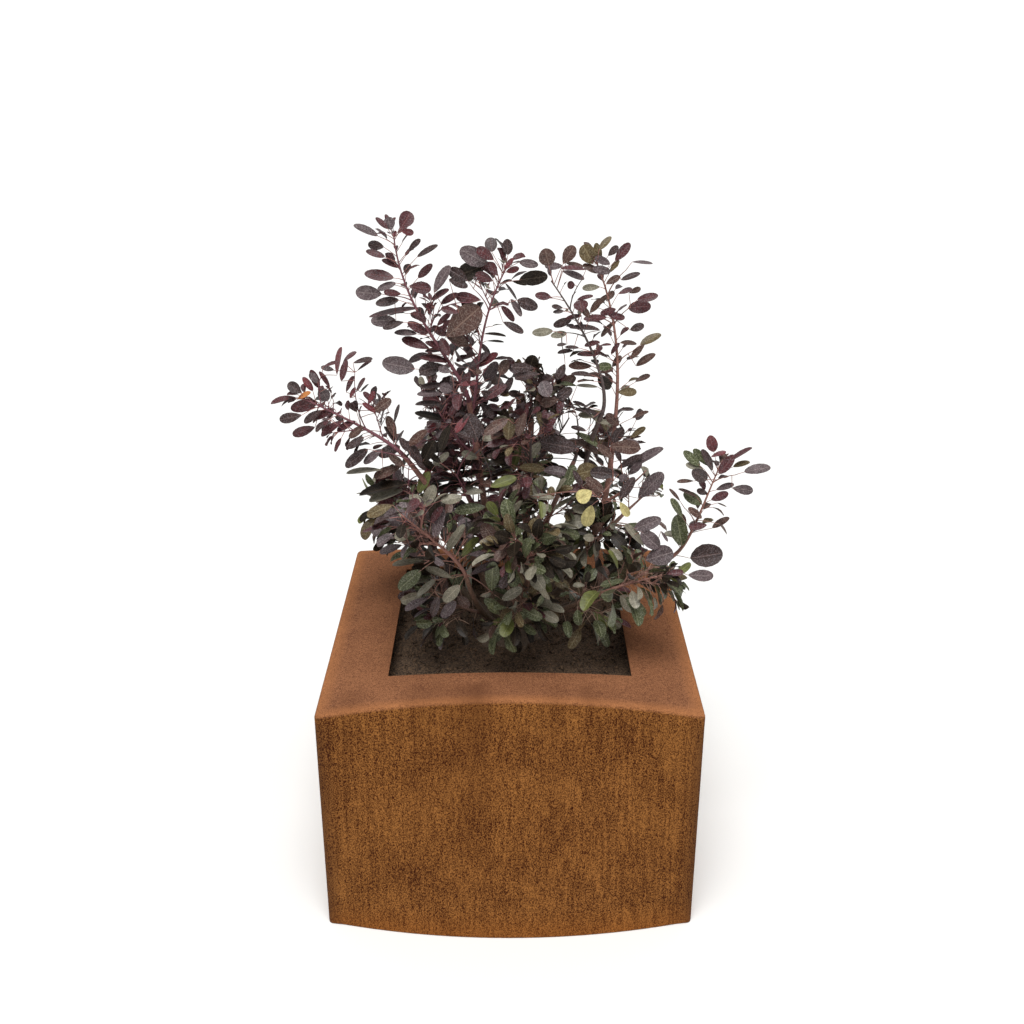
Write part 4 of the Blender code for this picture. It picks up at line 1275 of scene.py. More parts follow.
@dataclass
class ShrubFrame:
    """The shrub's limbs, worked out by the frame's own rule from the plans."""

    soil_level: float = 0.370
    gap: float = 0.3 * MM
    stub_height: float = 0.046
    stub_spread: Pair = (0.011, 0.045)
    spray_foot: Pair = (0.95, 0.70)
    spray_end: float = 1.1 * MM
    upturn: float = 0.25
    spray_handle: float = 0.40

    def foot_place(self, plan: StemPlan) -> Vector:
        """Place of a stem's foot on the root crown."""
        near, far = self.stub_spread
        out = near + (far - near) * math.cos(math.radians(plan.rise))
        a = math.radians(plan.azimuth)
        return Vector((out * math.cos(a), out * math.sin(a),
                       self.soil_level + self.gap + self.stub_height))

    def stems(self) -> dict[str, Limb]:
        """Work out the stems, a forked one from its parent's surface."""
        found: dict[str, Limb] = {}
        for plan in STEMS:
            heading = direction(plan.azimuth, plan.rise)
            start = self.foot_place(plan)
            if plan.parent:
                start = self.side_start(found[plan.parent], plan.share, heading)
            found[plan.node] = Limb(plan.node, start, heading, Vector(plan.tip), plan.foot, plan.end)
        return found

    @staticmethod
    def side_start(limb: Limb, share: float, heading: Vector) -> Vector:
        """Start of a shoot on a limb's side, a little inside the limb's surface."""
        point, tangent = limb.at(share)
        return point + heading * limb.radius(share) * 0.6 / math.sin(heading.angle(tangent))

    def sprays(self, stems: dict[str, Limb]) -> list[tuple[SprayPlan, Limb]]:
        """Work out each spray's own stem.

        Args:
            stems: The shrub's stems by node name.

        Returns:
            Each plan with its stem, which starts inside the limb that carries it.
        """
        found = []
        for plan in SPRAYS:
            limb = stems[plan.stem]
            if plan.length:
                heading = direction(plan.azimuth, plan.rise)
                start = self.side_start(limb, plan.share, heading)
                foot = limb.radius(plan.share) * self.spray_foot[1]
                tip = start + (heading * (1 - self.upturn) + UP * self.upturn) * plan.length
            else:
                heading = limb.tangents[-1]
                start = limb.points[-1] - heading * 2 * MM
                foot = limb.end * self.spray_foot[0]
            tip = Vector(plan.tip) if plan.tip else tip
            arrival = direction(*plan.arrival) if plan.arrival else None
            found.append((plan, Limb(plan.node, start, heading, tip, foot, self.spray_end,
                                     self.spray_handle, arrival=arrival)))
        return found


@dataclass
class BarkedStem:
    """A stem with its bark: a curve's tube with leaf scars and the skin's small relief."""

    limb: Limb
    ring_spacing: float = 3.2 * MM
    scar_spacing: float = 21 * MM
    scar_width: float = 2.4 * MM
    scar_swell: float = 0.16
    relief: float = 0.35 * MM
    relief_width: float = 5 * MM
    lap: float = 3 * MM

    def build(self, material: bpy.types.Material) -> None:
        """Build the stem and dress it with its bark's material."""
        limb = self.limb
        deselect_all()
        bpy.ops.curve.primitive_bezier_curve_add(location=(0, 0, 0))
        obj = bpy.context.object
        line = obj.data.splines[0]
        first, last = line.bezier_points
        start = limb.start - limb.heading * self.lap
        for point, place, inner, radius in ((first, start, limb.near, limb.foot),
                                            (last, limb.tip, limb.far, limb.end)):
            point.handle_left_type = point.handle_right_type = "FREE"
            point.co, point.radius = place, radius
            point.handle_left, point.handle_right = inner, inner
        line.resolution_u = round(limb.length() / self.ring_spacing)
        obj.data.bevel_depth = 1.0
        obj.data.bevel_resolution = 4
        obj.data.use_fill_caps = True
        bpy.ops.object.convert(target="MESH")
        self.add_relief(obj)
        bpy.ops.object.shade_smooth()
        fit_out(obj, limb.name.replace("stem_", "bark_stem_"), "bark", material, limb.name)

    def add_relief(self, obj: bpy.types.Object) -> None:
        """Raise the leaf scars' rings and the bark's uneven skin."""
        places = vertex_array(obj)
        line = np.array([tuple(p) for p in self.limb.points])
        feet, along = nearest_on_line(places, line)
        run = along * self.limb.length()
        offset = (run / self.scar_spacing) % 1.0
        scar = np.exp(-((np.minimum(offset, 1 - offset) * self.scar_spacing) / self.scar_width) ** 2)
        turn = np.floor(run / self.scar_spacing + 0.5) * GOLDEN
        out = places - feet
        length = np.linalg.norm(out, axis=1)
        facing = np.cos(np.arctan2(out[:, 1], out[:, 0]) - turn)
        swell = self.scar_swell * scar * np.clip(0.4 + 0.6 * facing, 0, 1)
        skin = smooth_noise(places, self.relief_width, 7.0) * self.relief
        skin += smooth_noise(places, self.relief_width * 0.4, 9.0) * self.relief * 0.5
        away = length > 0.1 * MM
        out[away] *= (1 + swell + skin / np.maximum(length, MM))[away, None]
        set_vertices(obj, feet + out)


def nearest_on_line(points: np.ndarray, line: np.ndarray) -> tuple[np.ndarray, np.ndarray]:
    """Nearest places on a polyline to many points.

    Args:
        points: Array of shape (n, 3).
        line: The polyline's points, of shape (m, 3).

    Returns:
        The nearest places, of shape (n, 3), and their shares of the line, of shape (n,).
    """
    a, ab = line[:-1], np.diff(line, axis=0)
    ap = points[:, None, :] - a[None]
    share = np.clip((ap * ab).sum(-1) / (ab * ab).sum(-1), 0.0, 1.0)
    feet = a[None] + share[..., None] * ab[None]
    best = np.linalg.norm(points[:, None, :] - feet, axis=-1).argmin(axis=1)
    rows = np.arange(len(points))
    return feet[rows, best], (best + share[rows, best]) / len(ab)


@dataclass
class RootCrown:
    """The shrub's flared, lobed foot, with a short stub that runs up into each stem."""

    profile: tuple = ((-0.004, 0.060), (0.004, 0.052), (0.012, 0.043), (0.024, 0.034),
                      (0.036, 0.024), (0.044, 0.014))
    lobes: int = 5
    lobe_depth: float = 0.14
    sides: int = 45
    stub_length: float = 0.040
    stub_foot: float = 1.35
    voxel: float = 1.5 * MM
    ridges: float = 1.1 * MM
    furrow_widths: Pair = (5 * MM, 2.5 * MM)
    furrow_stretch: float = 0.25
    smooth_above: float = 0.060

    def build(self, shrub: ShrubFrame, material: bpy.types.Material) -> None:
        """Build and dress the root crown.

        Args:
            shrub: Where the stems' feet are.
            material: The old bark's material.
        """
        ground = shrub.soil_level
        (low, radius), *rest = self.profile
        obj = start_mesh(bpy.ops.mesh.primitive_circle_add, vertices=self.sides, radius=radius,
                         fill_type="NGON", location=(0, 0, ground + low))
        with editing():
            for height, wide in rest:
                bpy.ops.mesh.extrude_region_move(
                    TRANSFORM_OT_translate={"value": (0, 0, height - low)})
                bpy.ops.transform.resize(value=(wide / radius, wide / radius, 1),
                                         center_override=(0, 0, ground + height))
                low, radius = height, wide
        places = vertex_array(obj)
        angle = np.arctan2(places[:, 1], places[:, 0])
        fade = np.clip(1 - (places[:, 2] - ground) / self.profile[-1][0], 0, 1)
        places[:, :2] *= (1 + self.lobe_depth * fade * np.cos(self.lobes * angle))[:, None]
        set_vertices(obj, places)
        self.add_stubs(obj, shrub)
        apply_modifier(obj, "REMESH", mode="VOXEL", voxel_size=self.voxel, use_smooth_shade=True)
        apply_modifier(obj, "SMOOTH", factor=0.5, iterations=6)
        self.add_ridges(obj, ground)
        fit_out(obj, "bark_root_crown", "bark", material, "root_crown")

    def add_stubs(self, obj: bpy.types.Object, shrub: ShrubFrame) -> None:
        """Join a leaning cone to the crown for each stem that stands on it."""
        stubs = []
        for plan in STEMS:
            if plan.parent:
                continue
            heading = direction(plan.azimuth, plan.rise)
            end = shrub.foot_place(plan) + heading * 3 * MM
            deselect_all()
            bpy.ops.mesh.primitive_cone_add(
                vertices=16, radius1=plan.foot * self.stub_foot, radius2=plan.foot * 1.04,
                depth=self.stub_length, location=end - heading * self.stub_length / 2,
                rotation=heading.to_track_quat("Z", "Y").to_euler())
            stubs.append(bpy.context.object)
        deselect_all()
        for piece in [obj, *stubs]:
            piece.select_set(True)
        bpy.context.view_layer.objects.active = obj
        bpy.ops.object.join()
        bpy.ops.object.transform_apply(location=True, rotation=True, scale=True)

    def add_ridges(self, obj: bpy.types.Object, ground: float) -> None:
        """Furrow the old bark lengthwise, and less towards the stems."""
        places = vertex_array(obj)
        normals = np.zeros(len(places) * 3)
        obj.data.vertices.foreach_get("normal", normals)
        wide, narrow = self.furrow_widths
        stretched = places * (1, 1, self.furrow_stretch)
        furrows = np.abs(smooth_noise(stretched, wide, 4.0)) * 2 - 0.5
        furrows += smooth_noise(places, narrow, 6.0) * 0.4
        fade = np.clip(1.15 - (places[:, 2] - ground) / self.smooth_above, 0.2, 1)
        set_vertices(obj, places + normals.reshape(-1, 3) * (furrows * fade * self.ridges)[:, None])


# Foliage

class Space:
    """Says whether points lie in a spray's own space and clear of every stem.

    Neighbouring spaces overlap by a share of their reach, as leaves of real sprays mingle.
    """

    margin = -0.25
    outer_limit = 1.22
    stem_clearance = 2.0 * MM
    lowest = 0.420
    segments = 9

    def __init__(self, stems: dict[str, Limb], sprays: list[tuple[SprayPlan, Limb]]) -> None:
        """Gather the axes of all sprays and stems in one array.

        Args:
            stems: The shrub's stems by node name.
            sprays: Each spray's plan and stem.
        """
        self.names = [plan.node for plan, _ in sprays]
        self.reach = np.array([plan.reach for plan, _ in sprays])
        limbs = [limb for _, limb in sprays] + list(stems.values())
        shares = [i / self.segments for i in range(self.segments + 1)]
        lines = np.array([[tuple(limb.at(s)[0]) for s in shares] for limb in limbs])
        self.a = lines[:, :-1]
        self.ab = np.diff(lines, axis=1)
        self.radii = np.array([max(limb.foot, limb.end) for limb in stems.values()])

    def allows(self, name: str, points: np.ndarray) -> bool:
        """Whether a spray may reach all these points.

        Args:
            name: The spray's node.
            points: Array of shape (n, 3).

        Returns:
            True where the spray's axis is the nearest in units of reach, within the limit.
        """
        if points[:, 2].min() < self.lowest:
            return False
        ap = points[:, None, None, :] - self.a[None]
        share = np.clip((ap * self.ab).sum(-1) / (self.ab * self.ab).sum(-1), 0, 1)
        away = np.linalg.norm(ap - share[..., None] * self.ab, axis=-1).min(-1)
        count = len(self.names)
        if (away[:, count:] < self.radii + self.stem_clearance).any():
            return False
        own = self.names.index(name)
        scaled = away[:, :count] / self.reach
        mine = scaled[:, own].copy()
        scaled[:, own] = np.inf
        return bool(mine.max() <= self.outer_limit and (scaled.min(1) >= mine + self.margin).all())


@dataclass
class LeafPattern:
    """The blade's mesh pattern: rows from petiole to tip, columns from edge to edge.

    The blade is widest at a share of its length, narrows to its foot and ends in a round tip.
    """

    widest: float
    foot_fullness: float
    tip_fullness: float = 0.5
    rows: tuple[float, ...] = (0.07, 0.22, 0.42, 0.62, 0.80, 0.925, 0.985)
    columns: tuple[float, ...] = (-1.0, -0.5, 0.0, 0.5, 1.0)

    def __post_init__(self) -> None:
        """Work out the faces, the own map and the rounded outline."""
        wide, high = len(self.columns), len(self.rows)
        base, tip = wide * high, wide * high + 1
        last = wide * (high - 1)
        faces = [(a, a + 1, a + 1 + wide, a + wide) for a in range(last) if (a + 1) % wide]
        for c in range(wide - 1):
            faces += [(base, c + 1, c), (tip, last + c, last + c + 1)]
        self.faces = faces
        t, u = np.meshgrid(self.rows, self.columns, indexing="ij")
        self.t = np.append(t.ravel(), [0.0, 1.0])
        self.u = np.append(u.ravel(), [0.0, 0.0])
        self.map = np.stack([0.5 + self.u / 2, self.t], axis=1)
        foot = 1 - np.clip(1 - self.t / self.widest, 0, 1) ** 1.8
        tip = 1 - np.clip((self.t - self.widest) / (1 - self.widest), 0, 1) ** 2.1
        self.outline = foot ** self.foot_fullness * tip ** self.tip_fullness

    def blade(self, root: Vector, heading: Vector, facing: Vector, size: Pair,
              curl: float, fold: float, wave: float, phase: float) -> np.ndarray:
        """Vertices of one blade.

        Args:
            root: Where the petiole meets the blade.
            heading: The midrib's direction there.
            facing: The side that the blade's face looks to.
            size: Length and width.
            curl: Angle by which the midrib bends down over the blade's length.
            fold: Slope at which the two halves rise from the midrib.
            wave: Depth of the waves along the edge.
            phase: Shifts the waves.

        Returns:
            Vertices of shape (n, 3), in the order of the pattern's faces and map.
        """
        length, width = size
        across = heading.cross(facing).normalized()
        up = np.array(across.cross(heading).normalized())
        ahead, across = np.array(heading), np.array(across)
        angle = curl * self.t
        forward = length * np.sin(angle) / curl
        down = length * (1 - np.cos(angle)) / curl
        half = width / 2 * self.outline
        rise = half * np.abs(self.u) * fold
        rise += wave * self.u ** 2 * np.sin(phase + 11 * self.t + 1.5 * np.sign(self.u)) * self.outline
        normal = np.outer(np.cos(angle), up) + np.outer(np.sin(angle), ahead)
        spread = half * self.u * math.cos(math.atan(fold))
        line = np.outer(forward, ahead) - np.outer(down, up)
        return np.array(root) + line + np.outer(spread, across) + normal * rise[:, None]


@dataclass
class GrowthRule:
    """Numbers of the growing rule: places as shares, angles in degrees, sizes in metres."""

    attempts: int = 6
    twig_places: Pair = (0.22, 0.84)
    twig_reach: Pair = (0.74, 0.36)
    twig_radii: Pair = (1.2 * MM, 0.7 * MM)
    twig_mesh: tuple[int, int] = (6, 5)
    twig_tests: tuple[float, ...] = (0.5, 0.75, 1.0)
    upturn: float = 0.10
    spur_places: tuple[float, ...] = (0.42, 0.72)
    spur_length: Pair = (0.014, 0.030)
    spur_radii: Pair = (0.9 * MM, 0.6 * MM)
    spur_mesh: tuple[int, int] = (3, 4)
    stem_leaves: tuple[float, float, float] = (0.10, 0.55, 0.97)
    twig_leaves: Pair = (0.30, 0.96)
    spur_leaves: Pair = (0.55, 0.98)
    foot_scale: float = 1.08
    twig_scale: float = 0.92
    spur_scale: float = 0.80
    age_scale: Pair = (0.72, 0.48)
    uneven: Pair = (0.82, 1.18)
    shrink: float = 0.9
    spreads: Pair = (78, 48)
    spread_error: float = 9
    petiole: Pair = (0.45, 0.95)
    petiole_radii: Pair = (0.75 * MM, 0.50 * MM)
    petiole_sag: float = 0.10
    longest: float = 0.084
    droop: Pair = (-0.45, 0.15)
    lift: float = 0.05
    edge_on: float = 0.95
    roll: float = math.radians(38)
    forms: tuple[Pair, ...] = (
        (0.56, 0.80), (0.50, 0.62), (0.60, 0.95), (0.46, 0.72))
    shape: Pair = (0.42, 0.66)
    curl: Pair = (0.12, 0.85)
    fold: Pair = (0.08, 0.55)
    wave: Pair = (0.0, 1.1 * MM)
    young: float = 0.80
    young_odds: float = 0.4
    tuft: tuple[tuple[float, float, float], ...] = (
        (0.995, 8, 0.80), (0.985, 34, 0.95), (0.975, 52, 1.00), (0.965, 44, 0.85),
        (0.990, 22, 0.35), (0.980, 14, 0.28), (0.970, 26, 0.40))
    tuft_uneven: Pair = (0.8, 1.1)
    tuft_petiole: float = 0.45
    view: PhotoView = PhotoView()
    marked_petiole: float = 0.026
    marked_weight: float = 0.3
    marked_lean: float = math.radians(52)
    marked_depth: float = 0.007
    marked_curl: float = 0.15
    seats: int = 40
    own_petiole: float = 0.030
    shoot_from: float = 0.042
    shoot_radii: Pair = (1.2 * MM, 0.6 * MM)


class Grower:
    """Grows one spray by a seeded rule: twigs round its stem, spurs and leaves round each."""

    seed = 20

    def __init__(self, plan: SprayPlan, limb: Limb, space: Space, sight: Sight, rule: GrowthRule,
                 patterns: list[LeafPattern], foliage: "Foliage") -> None:
        """Start a spray with its stem alone.

        Args:
            plan: How the spray is leaved.
            limb: Its stem.
            space: The spaces of all sprays.
            sight: What stays in sight.
            rule: The growing rule's numbers.
            patterns: The blades' mesh patterns.
            foliage: Where the grown shapes are gathered.
        """
        self.plan, self.limb, self.space, self.sight = plan, limb, space, sight
        self.rule, self.patterns, self.foliage = rule, patterns, foliage
        self.rng = random.Random(self.seed + sum(ord(c) for c in plan.node))
        self.turn = self.rng.uniform(0, 2 * math.pi)
        self.wood: list[BVHTree] = []
        self.joints: list[Vector] = []
        self.leaves = 0
        self.wood.append(self.add_wood(limb, 6))

    def add_wood(self, limb: Limb, sides: int) -> BVHTree:
        """Add a limb's tube to the twigs' mesh, and give its tree for tests of contact."""
        radii = [limb.radius(i / limb.steps) for i in range(limb.steps + 1)]
        verts, faces = tube(limb.points, radii, sides)
        self.foliage.wood[self.plan.tint.bark()].add(verts, faces)
        return BVHTree.FromPolygons(verts.tolist(), faces)

    def spoke(self, tangent: Vector) -> Vector:
        """Next direction round a tangent, by the golden angle."""
        self.turn += GOLDEN
        return Quaternion(tangent, self.turn) @ tangent.orthogonal().normalized()

    def has_room(self, points: np.ndarray) -> bool:
        """Whether points, of shape (n, 3), lie in the spray's space and hide nothing kept."""
        return self.space.allows(self.plan.node, points) and self.sight.allows(points)

    def clear(self, verts: np.ndarray, faces: list[tuple[int, ...]]) -> bool:
        """Whether a blade crosses no other blade of the shrub and no wood of the spray."""
        tree = BVHTree.FromPolygons(verts.tolist(), faces)
        trees = self.foliage.trees
        away = np.linalg.norm(self.foliage.centres[:len(trees)] - verts.mean(0), axis=1)
        near = np.flatnonzero(away < self.plan.blade + self.foliage.longest_blade / 2)
        return not any(tree.overlap(other) for other in [*(trees[i] for i in near), *self.wood])

    def leaf(self, limb: Limb, share: float, spread: float, blade: float, petiole: float,
             kind: Leaf) -> None:
        """Place a leaf on a limb where it has room.

        Args:
            limb: The stem, twig or spur that carries the leaf.
            share: The leaf's place on it.
            spread: Angle from the limb's tangent, in degrees.
            blade: Length of the blade.
            petiole: Length of the petiole.
            kind: The leaf's kind by colour.
        """
        rule, rng, level = self.rule, self.rng, self.plan.level
        pattern = rng.choice(self.patterns)
        root, tangent = limb.at(share)
        lean = math.radians(spread + rng.uniform(-rule.spread_error, rule.spread_error))
        for attempt in range(rule.attempts):
            spoke = self.spoke(tangent)
            heading = (tangent * math.cos(lean) + spoke * math.sin(lean) + UP * rule.lift).normalized()
            facing = tangent * math.sin(lean) - spoke * math.cos(lean) + UP * level
            if abs(facing.normalized().dot(heading)) > rule.edge_on:
                facing = -spoke
            facing = Quaternion(heading, rng.gauss(0, rule.roll / level)) @ facing
            ahead = (heading + UP * rng.uniform(*rule.droop)).normalized()
            start = root + heading * petiole
            size = blade * rule.shrink ** attempt
            verts = pattern.blade(start, ahead, facing, (size, size * rng.uniform(*rule.shape)),
                                  rng.uniform(*rule.curl), rng.uniform(*rule.fold),
                                  rng.uniform(*rule.wave), rng.uniform(0, 6.3))
            tests = np.vstack([verts, np.array([root.lerp(start, 0.6)])])
            if self.has_room(tests) and self.clear(verts, pattern.faces):
                self.keep_leaf(verts, root, start, kind)
                return

    def marked_leaf(self, leaf: MarkedLeaf) -> None:
        """Place a leaf where the photograph shows it, on the stem at the petiole's usual lean."""
        rule, rng = self.rule, self.rng
        seats = []
        for i in range(2, rule.seats):
            root, tangent = self.limb.at(i / rule.seats)
            reach = rule.view.spot(leaf.foot, root.y) - root
            error = abs(reach.length / rule.marked_petiole - 1) * rule.marked_weight
            seats.append((error + abs(reach.angle(tangent) - rule.marked_lean), root, tangent))
        _, root, tangent = min(seats, key=lambda seat: seat[0])
        depth = root.y - leaf.forward + rng.gauss(0, rule.marked_depth)
        start = rule.view.spot(leaf.foot, depth)
        tip = rule.view.spot(leaf.tip, start.y + rng.gauss(0, rule.marked_depth))
        ahead, length = (tip - start).normalized(), (tip - start).length
        width = max(leaf.width * MM, length * rule.shape[0])
        tilt = math.acos(leaf.width * MM / width)
        to_camera = (rule.view.place - start).normalized()
        facing = max((Quaternion(ahead, turn) @ to_camera for turn in (tilt, -tilt)), key=lambda f: f.z)
        verts = rng.choice(self.patterns).blade(start, ahead, facing, (length, width),
                                                rule.marked_curl, rng.uniform(*rule.fold) / 2, 0, 0)
        self.sight.keep_blade(verts)
        self.keep_leaf(verts, self.seat(root, tangent, start), start, leaf.kind)

    def seat(self, root: Vector, tangent: Vector, foot: Vector) -> Vector:
        """Where a marked leaf's petiole begins: on a side shoot, where the stem is far.

        Args:
            root: The leaf's place on the stem.
            tangent: The stem's direction there.
            foot: The foot of the leaf's blade.

        Returns:
            The petiole's root.
        """
        rule = self.rule
        if (foot - root).length < rule.own_petiole:
            return root
        root = min([root, *self.joints], key=lambda joint: (foot - joint).length)
        reach = foot - root
        if reach.length < rule.shoot_from:
            return root
        ahead = reach.normalized()
        shoot = Limb("shoot", root, (ahead + tangent * 0.6).normalized(),
                     foot - ahead * rule.own_petiole / 2, *rule.shoot_radii, steps=8)
        self.add_wood(shoot, 5)
        self.joints += shoot.points[2:]
        return shoot.points[-1]

    def keep_leaf(self, verts: np.ndarray, root: Vector, start: Vector, kind: Leaf) -> None:
        """Keep a blade's mesh and give it its petiole.

        Args:
            verts: The blade's vertices.
            root: Where the petiole leaves the limb.
            start: Where the petiole meets the blade.
            kind: The leaf's kind by colour.
        """
        rule, foliage, pattern = self.rule, self.foliage, self.patterns[0]
        foliage.leaves[kind].add(verts, pattern.faces, pattern.map)
        foliage.centres[len(foliage.trees)] = verts.mean(0)
        foliage.trees.append(BVHTree.FromPolygons(verts.tolist(), pattern.faces))
        sag = (start - root).length
        bow = start - UP * sag * self.rng.uniform(0.0, rule.petiole_sag)
        line = [root, root.lerp(bow, 0.5) + UP * sag * 0.05, start.lerp(bow, 0.2),
                Vector(verts[-2]).lerp(Vector(verts[7]), 0.5)]
        thick, thin = rule.petiole_radii
        foliage.petioles.add(*tube(line, [thick, (thick + thin) / 2, thin, thin * 0.6], 3))
        self.leaves += 1

    def kind(self, share: float) -> Leaf:
        """Pick a leaf's kind by the spray's tint, redder towards a young tip."""
        kinds, weights = zip(*self.plan.tint.value)
        picked = self.rng.choices(kinds, weights)[0]
        young = share > self.rule.young and self.rng.random() < self.rule.young_odds
        return Leaf.WINE if young and picked in (Leaf.PLUM, Leaf.UMBER, Leaf.OLIVE) else picked

    def leaf_out(self, limb: Limb, first: float, last: float, scale: float = 1.0) -> None:
        """Set leaves along a limb at the spray's spacing, larger and wider at its foot.

        Args:
            limb: The stem, twig or spur.
            first: The first leaf's place.
            last: The last leaf's place.
            scale: Size of the leaves against the spray's own.
        """
        rule, rng, plan = self.rule, self.rng, self.plan
        (young_size, growth), (low, high) = rule.age_scale, rule.spreads
        count = max(2, round(limb.length() * (last - first) / plan.spacing))
        for i in range(count):
            share = first + (last - first) * i / (count - 1)
            age = 1 - share
            blade = plan.blade * scale * (young_size + growth * age) * rng.uniform(*rule.uneven)
            petiole = min(blade * rng.uniform(*rule.petiole), rule.longest - blade)
            self.leaf(limb, share, high + (low - high) * age, blade, petiole, self.kind(share))

    def tuft(self, limb: Limb) -> None:
        """Set the leaves that stand round a limb's tip, young ones among them."""
        rule = self.rule
        for share, spread, size in rule.tuft:
            blade = self.plan.blade * size * self.rng.uniform(*rule.tuft_uneven)
            self.leaf(limb, share, spread, blade, blade * rule.tuft_petiole, self.kind(1.0))

    def branch(self, limb: Limb, share: float, length: float, radii: Pair,
               mesh: tuple[int, int], tests: tuple[float, ...] = (1.0,)) -> Limb | None:
        """Grow a side limb where it has room.

        Args:
            limb: The limb that it leaves.
            share: Its place on that limb.
            length: Its length.
            radii: Its radii at the foot and the tip.
            mesh: Number of its steps and of its sides.
            tests: Shares of its length that need room.

        Returns:
            The side limb, or None where it has no room.
        """
        root, tangent = limb.at(share)
        steps, sides = mesh
        for _ in range(self.rule.attempts):
            heading = (tangent + self.spoke(tangent)).normalized()
            tip = root + heading * length + UP * length * self.rule.upturn
            branch = Limb("branch", root, heading, tip, *radii, steps=steps)
            if self.has_room(np.array([tuple(branch.at(s)[0]) for s in tests])):
                self.wood.append(self.add_wood(branch, sides))
                return branch
        return None

    def twig(self, share: float) -> None:
        """Grow a side twig with its spurs, leaves and tuft, where it has room."""
        rule = self.rule
        near, less = rule.twig_reach
        reach = self.plan.reach * (near - less * share)
        twig = self.branch(self.limb, share, reach, rule.twig_radii, rule.twig_mesh,
                           rule.twig_tests)
        if twig is None:
            return
        for place in rule.spur_places:
            length = self.rng.uniform(*rule.spur_length)
            spur = self.branch(twig, place, length, rule.spur_radii, rule.spur_mesh)
            if spur:
                self.leaf_out(spur, *rule.spur_leaves, rule.spur_scale)
        self.leaf_out(twig, *rule.twig_leaves, rule.twig_scale)
        self.tuft(twig)

    def grow(self) -> int:
        """Fill the spray, tip first.

        Returns:
            The number of leaves.
        """
        low, high = self.rule.twig_places
        first, middle, last = self.rule.stem_leaves
        self.tuft(self.limb)
        self.leaf_out(self.limb, middle, last)
        for i in range(self.plan.twigs):
            self.twig(low + (high - low) * (i + 0.5) / self.plan.twigs)
        self.leaf_out(self.limb, first, middle, self.rule.foot_scale)
        return self.leaves


class Foliage:
    """All the shrub's leaves, petioles and twigs, each kind gathered in its own mesh."""

    most_leaves = 12000
    longest_blade = 0.070

    def __init__(self) -> None:
        """Start with nothing grown."""
        self.centres = np.zeros((self.most_leaves, 3))
        self.trees: list[BVHTree] = []
        self.leaves = {kind: JoinedMesh() for kind in Leaf}
        self.petioles = JoinedMesh()
        self.wood = {bark: JoinedMesh() for bark in (Bark.RED, Bark.TAN, Bark.GREY)}

    def grow(self, stems: dict[str, Limb], sprays: list[tuple[SprayPlan, Limb]]) -> None:
        """Grow every spray in its own space.

        Args:
            stems: The shrub's stems by node name.
            sprays: Each spray's plan and stem.
        """
        space, rule = Space(stems, sprays), GrowthRule()
        sight = Sight(rule.view)
        patterns = [LeafPattern(widest, full) for widest, full in rule.forms]
        growers = [Grower(plan, limb, space, sight, rule, patterns, self) for plan, limb in sprays]
        for grower in growers:
            for kind, forward, *rows in MARKED_LEAVES.get(grower.plan.node, ()):
                for row in rows:
                    grower.marked_leaf(MarkedLeaf(row[:2], row[2:4], row[4], kind, forward))
        for limb in [*stems.values(), *(limb for _, limb in sprays)]:
            if limb.name in BARE_LIMBS:
                sight.keep_limb(limb, BARE_LIMBS[limb.name])
        for grower in growers:
            LOG.info("%s: %d leaves", grower.plan.node, grower.grow())

    def build(self) -> None:
        """Make and dress one piece for each kind."""
        nodes = [plan.node for plan in SPRAYS]
        for bark, gathered in self.wood.items():
            fit_out(gathered.make("twigs"), bark.value.name, "bark", bark.value.material(), *nodes)
        stalk = BarkFinish("petiole_skin", "#a8726a", "#a58a76", pore_spacing=40 * MM)
        fit_out(self.petioles.make("petioles"), "petioles", "purple_foliage", stalk.material(), *nodes)
        for kind, gathered in self.leaves.items():
            if gathered.shapes:
                fit_out(gathered.make(kind.value.name), kind.value.name, "purple_foliage",
                        kind.value.material(), *nodes)
        LOG.info("leaves in all: %d", sum(g.shapes for g in self.leaves.values()))


# Studio

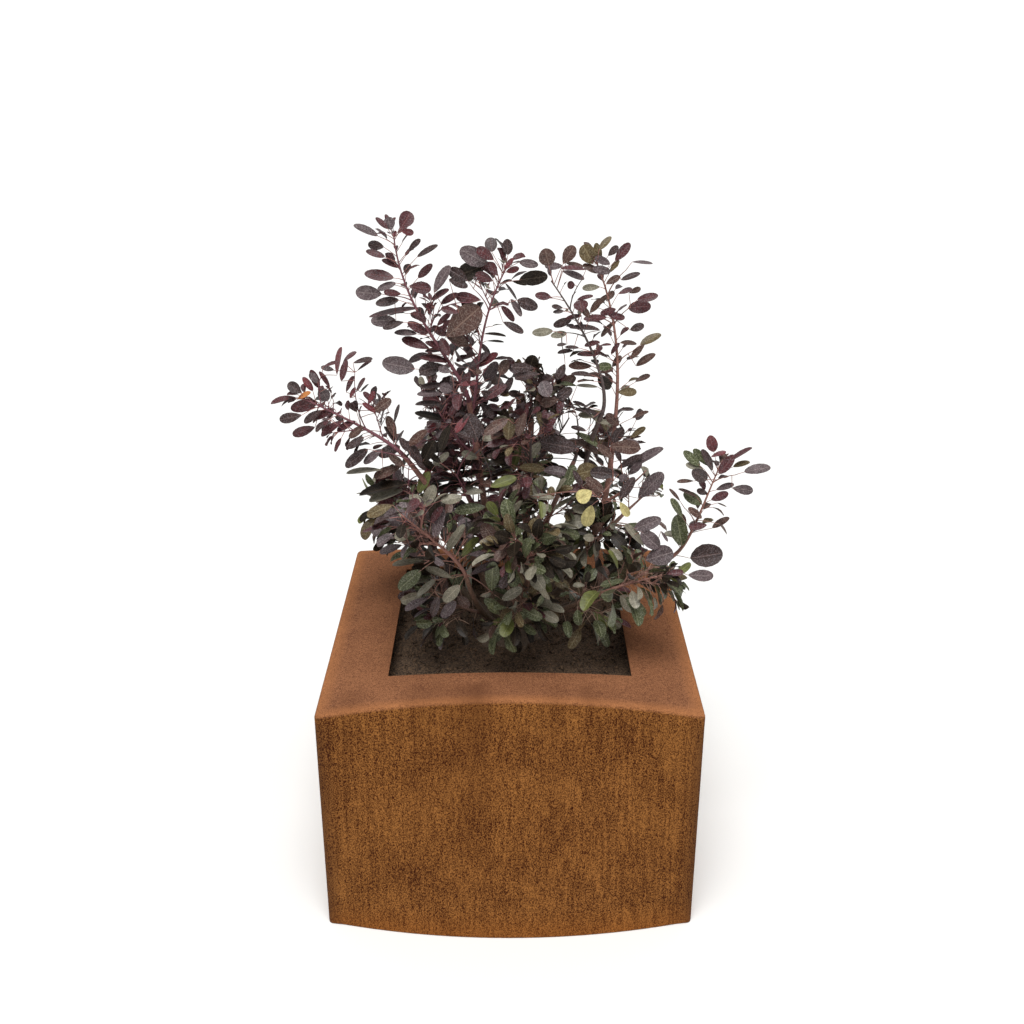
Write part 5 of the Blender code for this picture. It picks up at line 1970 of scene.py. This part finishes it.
@dataclass
class Studio:
    """The photograph's view, a pale floor and soft daylight from above."""

    view: PhotoView = PhotoView()
    floor_radius: float = 250.0
    floor_colour: str = "#f4f4f2"
    sky: float = 0.42
    sun: float = 2.8
    sun_angle: float = 36.0
    sun_turn: Pair = (22.0, -4.0)

    def build(self) -> None:
        """Set the camera, the floor and the light."""
        view = self.view
        bpy.ops.object.camera_add(location=view.place, rotation=view.turn())
        camera = bpy.context.object
        camera.data.sensor_width = view.sensor
        camera.data.lens = view.focal_pixels / view.pixels * view.sensor
        camera.data.clip_end = 1000.0
        bpy.context.scene.camera = camera
        deselect_all()
        bpy.ops.mesh.primitive_circle_add(vertices=96, radius=self.floor_radius, fill_type="NGON")
        floor = bpy.context.object
        floor.name = "floor"
        paint_coat = Graph("matt_white_paint").surface({
            "Base Color": linear(self.floor_colour), "Roughness": 0.9, "Specular IOR Level": 0.1})
        floor.data.materials.append(paint_coat)
        tilt, turn = self.sun_turn
        bpy.ops.object.light_add(type="SUN", rotation=(math.radians(tilt), 0, math.radians(turn)))
        light = bpy.context.object.data
        light.energy, light.angle = self.sun, math.radians(self.sun_angle)
        world = bpy.data.worlds.new("soft_daylight")
        world.use_nodes = True
        backdrop = world.node_tree.nodes["Background"]
        backdrop.inputs["Color"].default_value = (1, 1, 1, 1)
        backdrop.inputs["Strength"].default_value = self.sky
        bpy.context.scene.world = world
        bpy.context.scene.view_settings.view_transform = "Standard"


def main() -> None:
    """Build every piece in order and report it."""
    logging.basicConfig(level=logging.INFO, format="%(name)s: %(message)s")
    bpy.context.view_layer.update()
    Studio().build()
    SteelPlanter().build()
    SoilTop().build()
    shrub = ShrubFrame()
    stems = shrub.stems()
    sprays = shrub.sprays(stems)
    barks = {kind: kind.value.material() for kind in (Bark.STEM, Bark.DARK_STEM)}
    RootCrown().build(shrub, barks[Bark.STEM])
    for plan in STEMS:
        BarkedStem(stems[plan.node]).build(barks[plan.bark])
    foliage = Foliage()
    foliage.grow(stems, sprays)
    foliage.build()


if __name__ == "__main__":
    main()
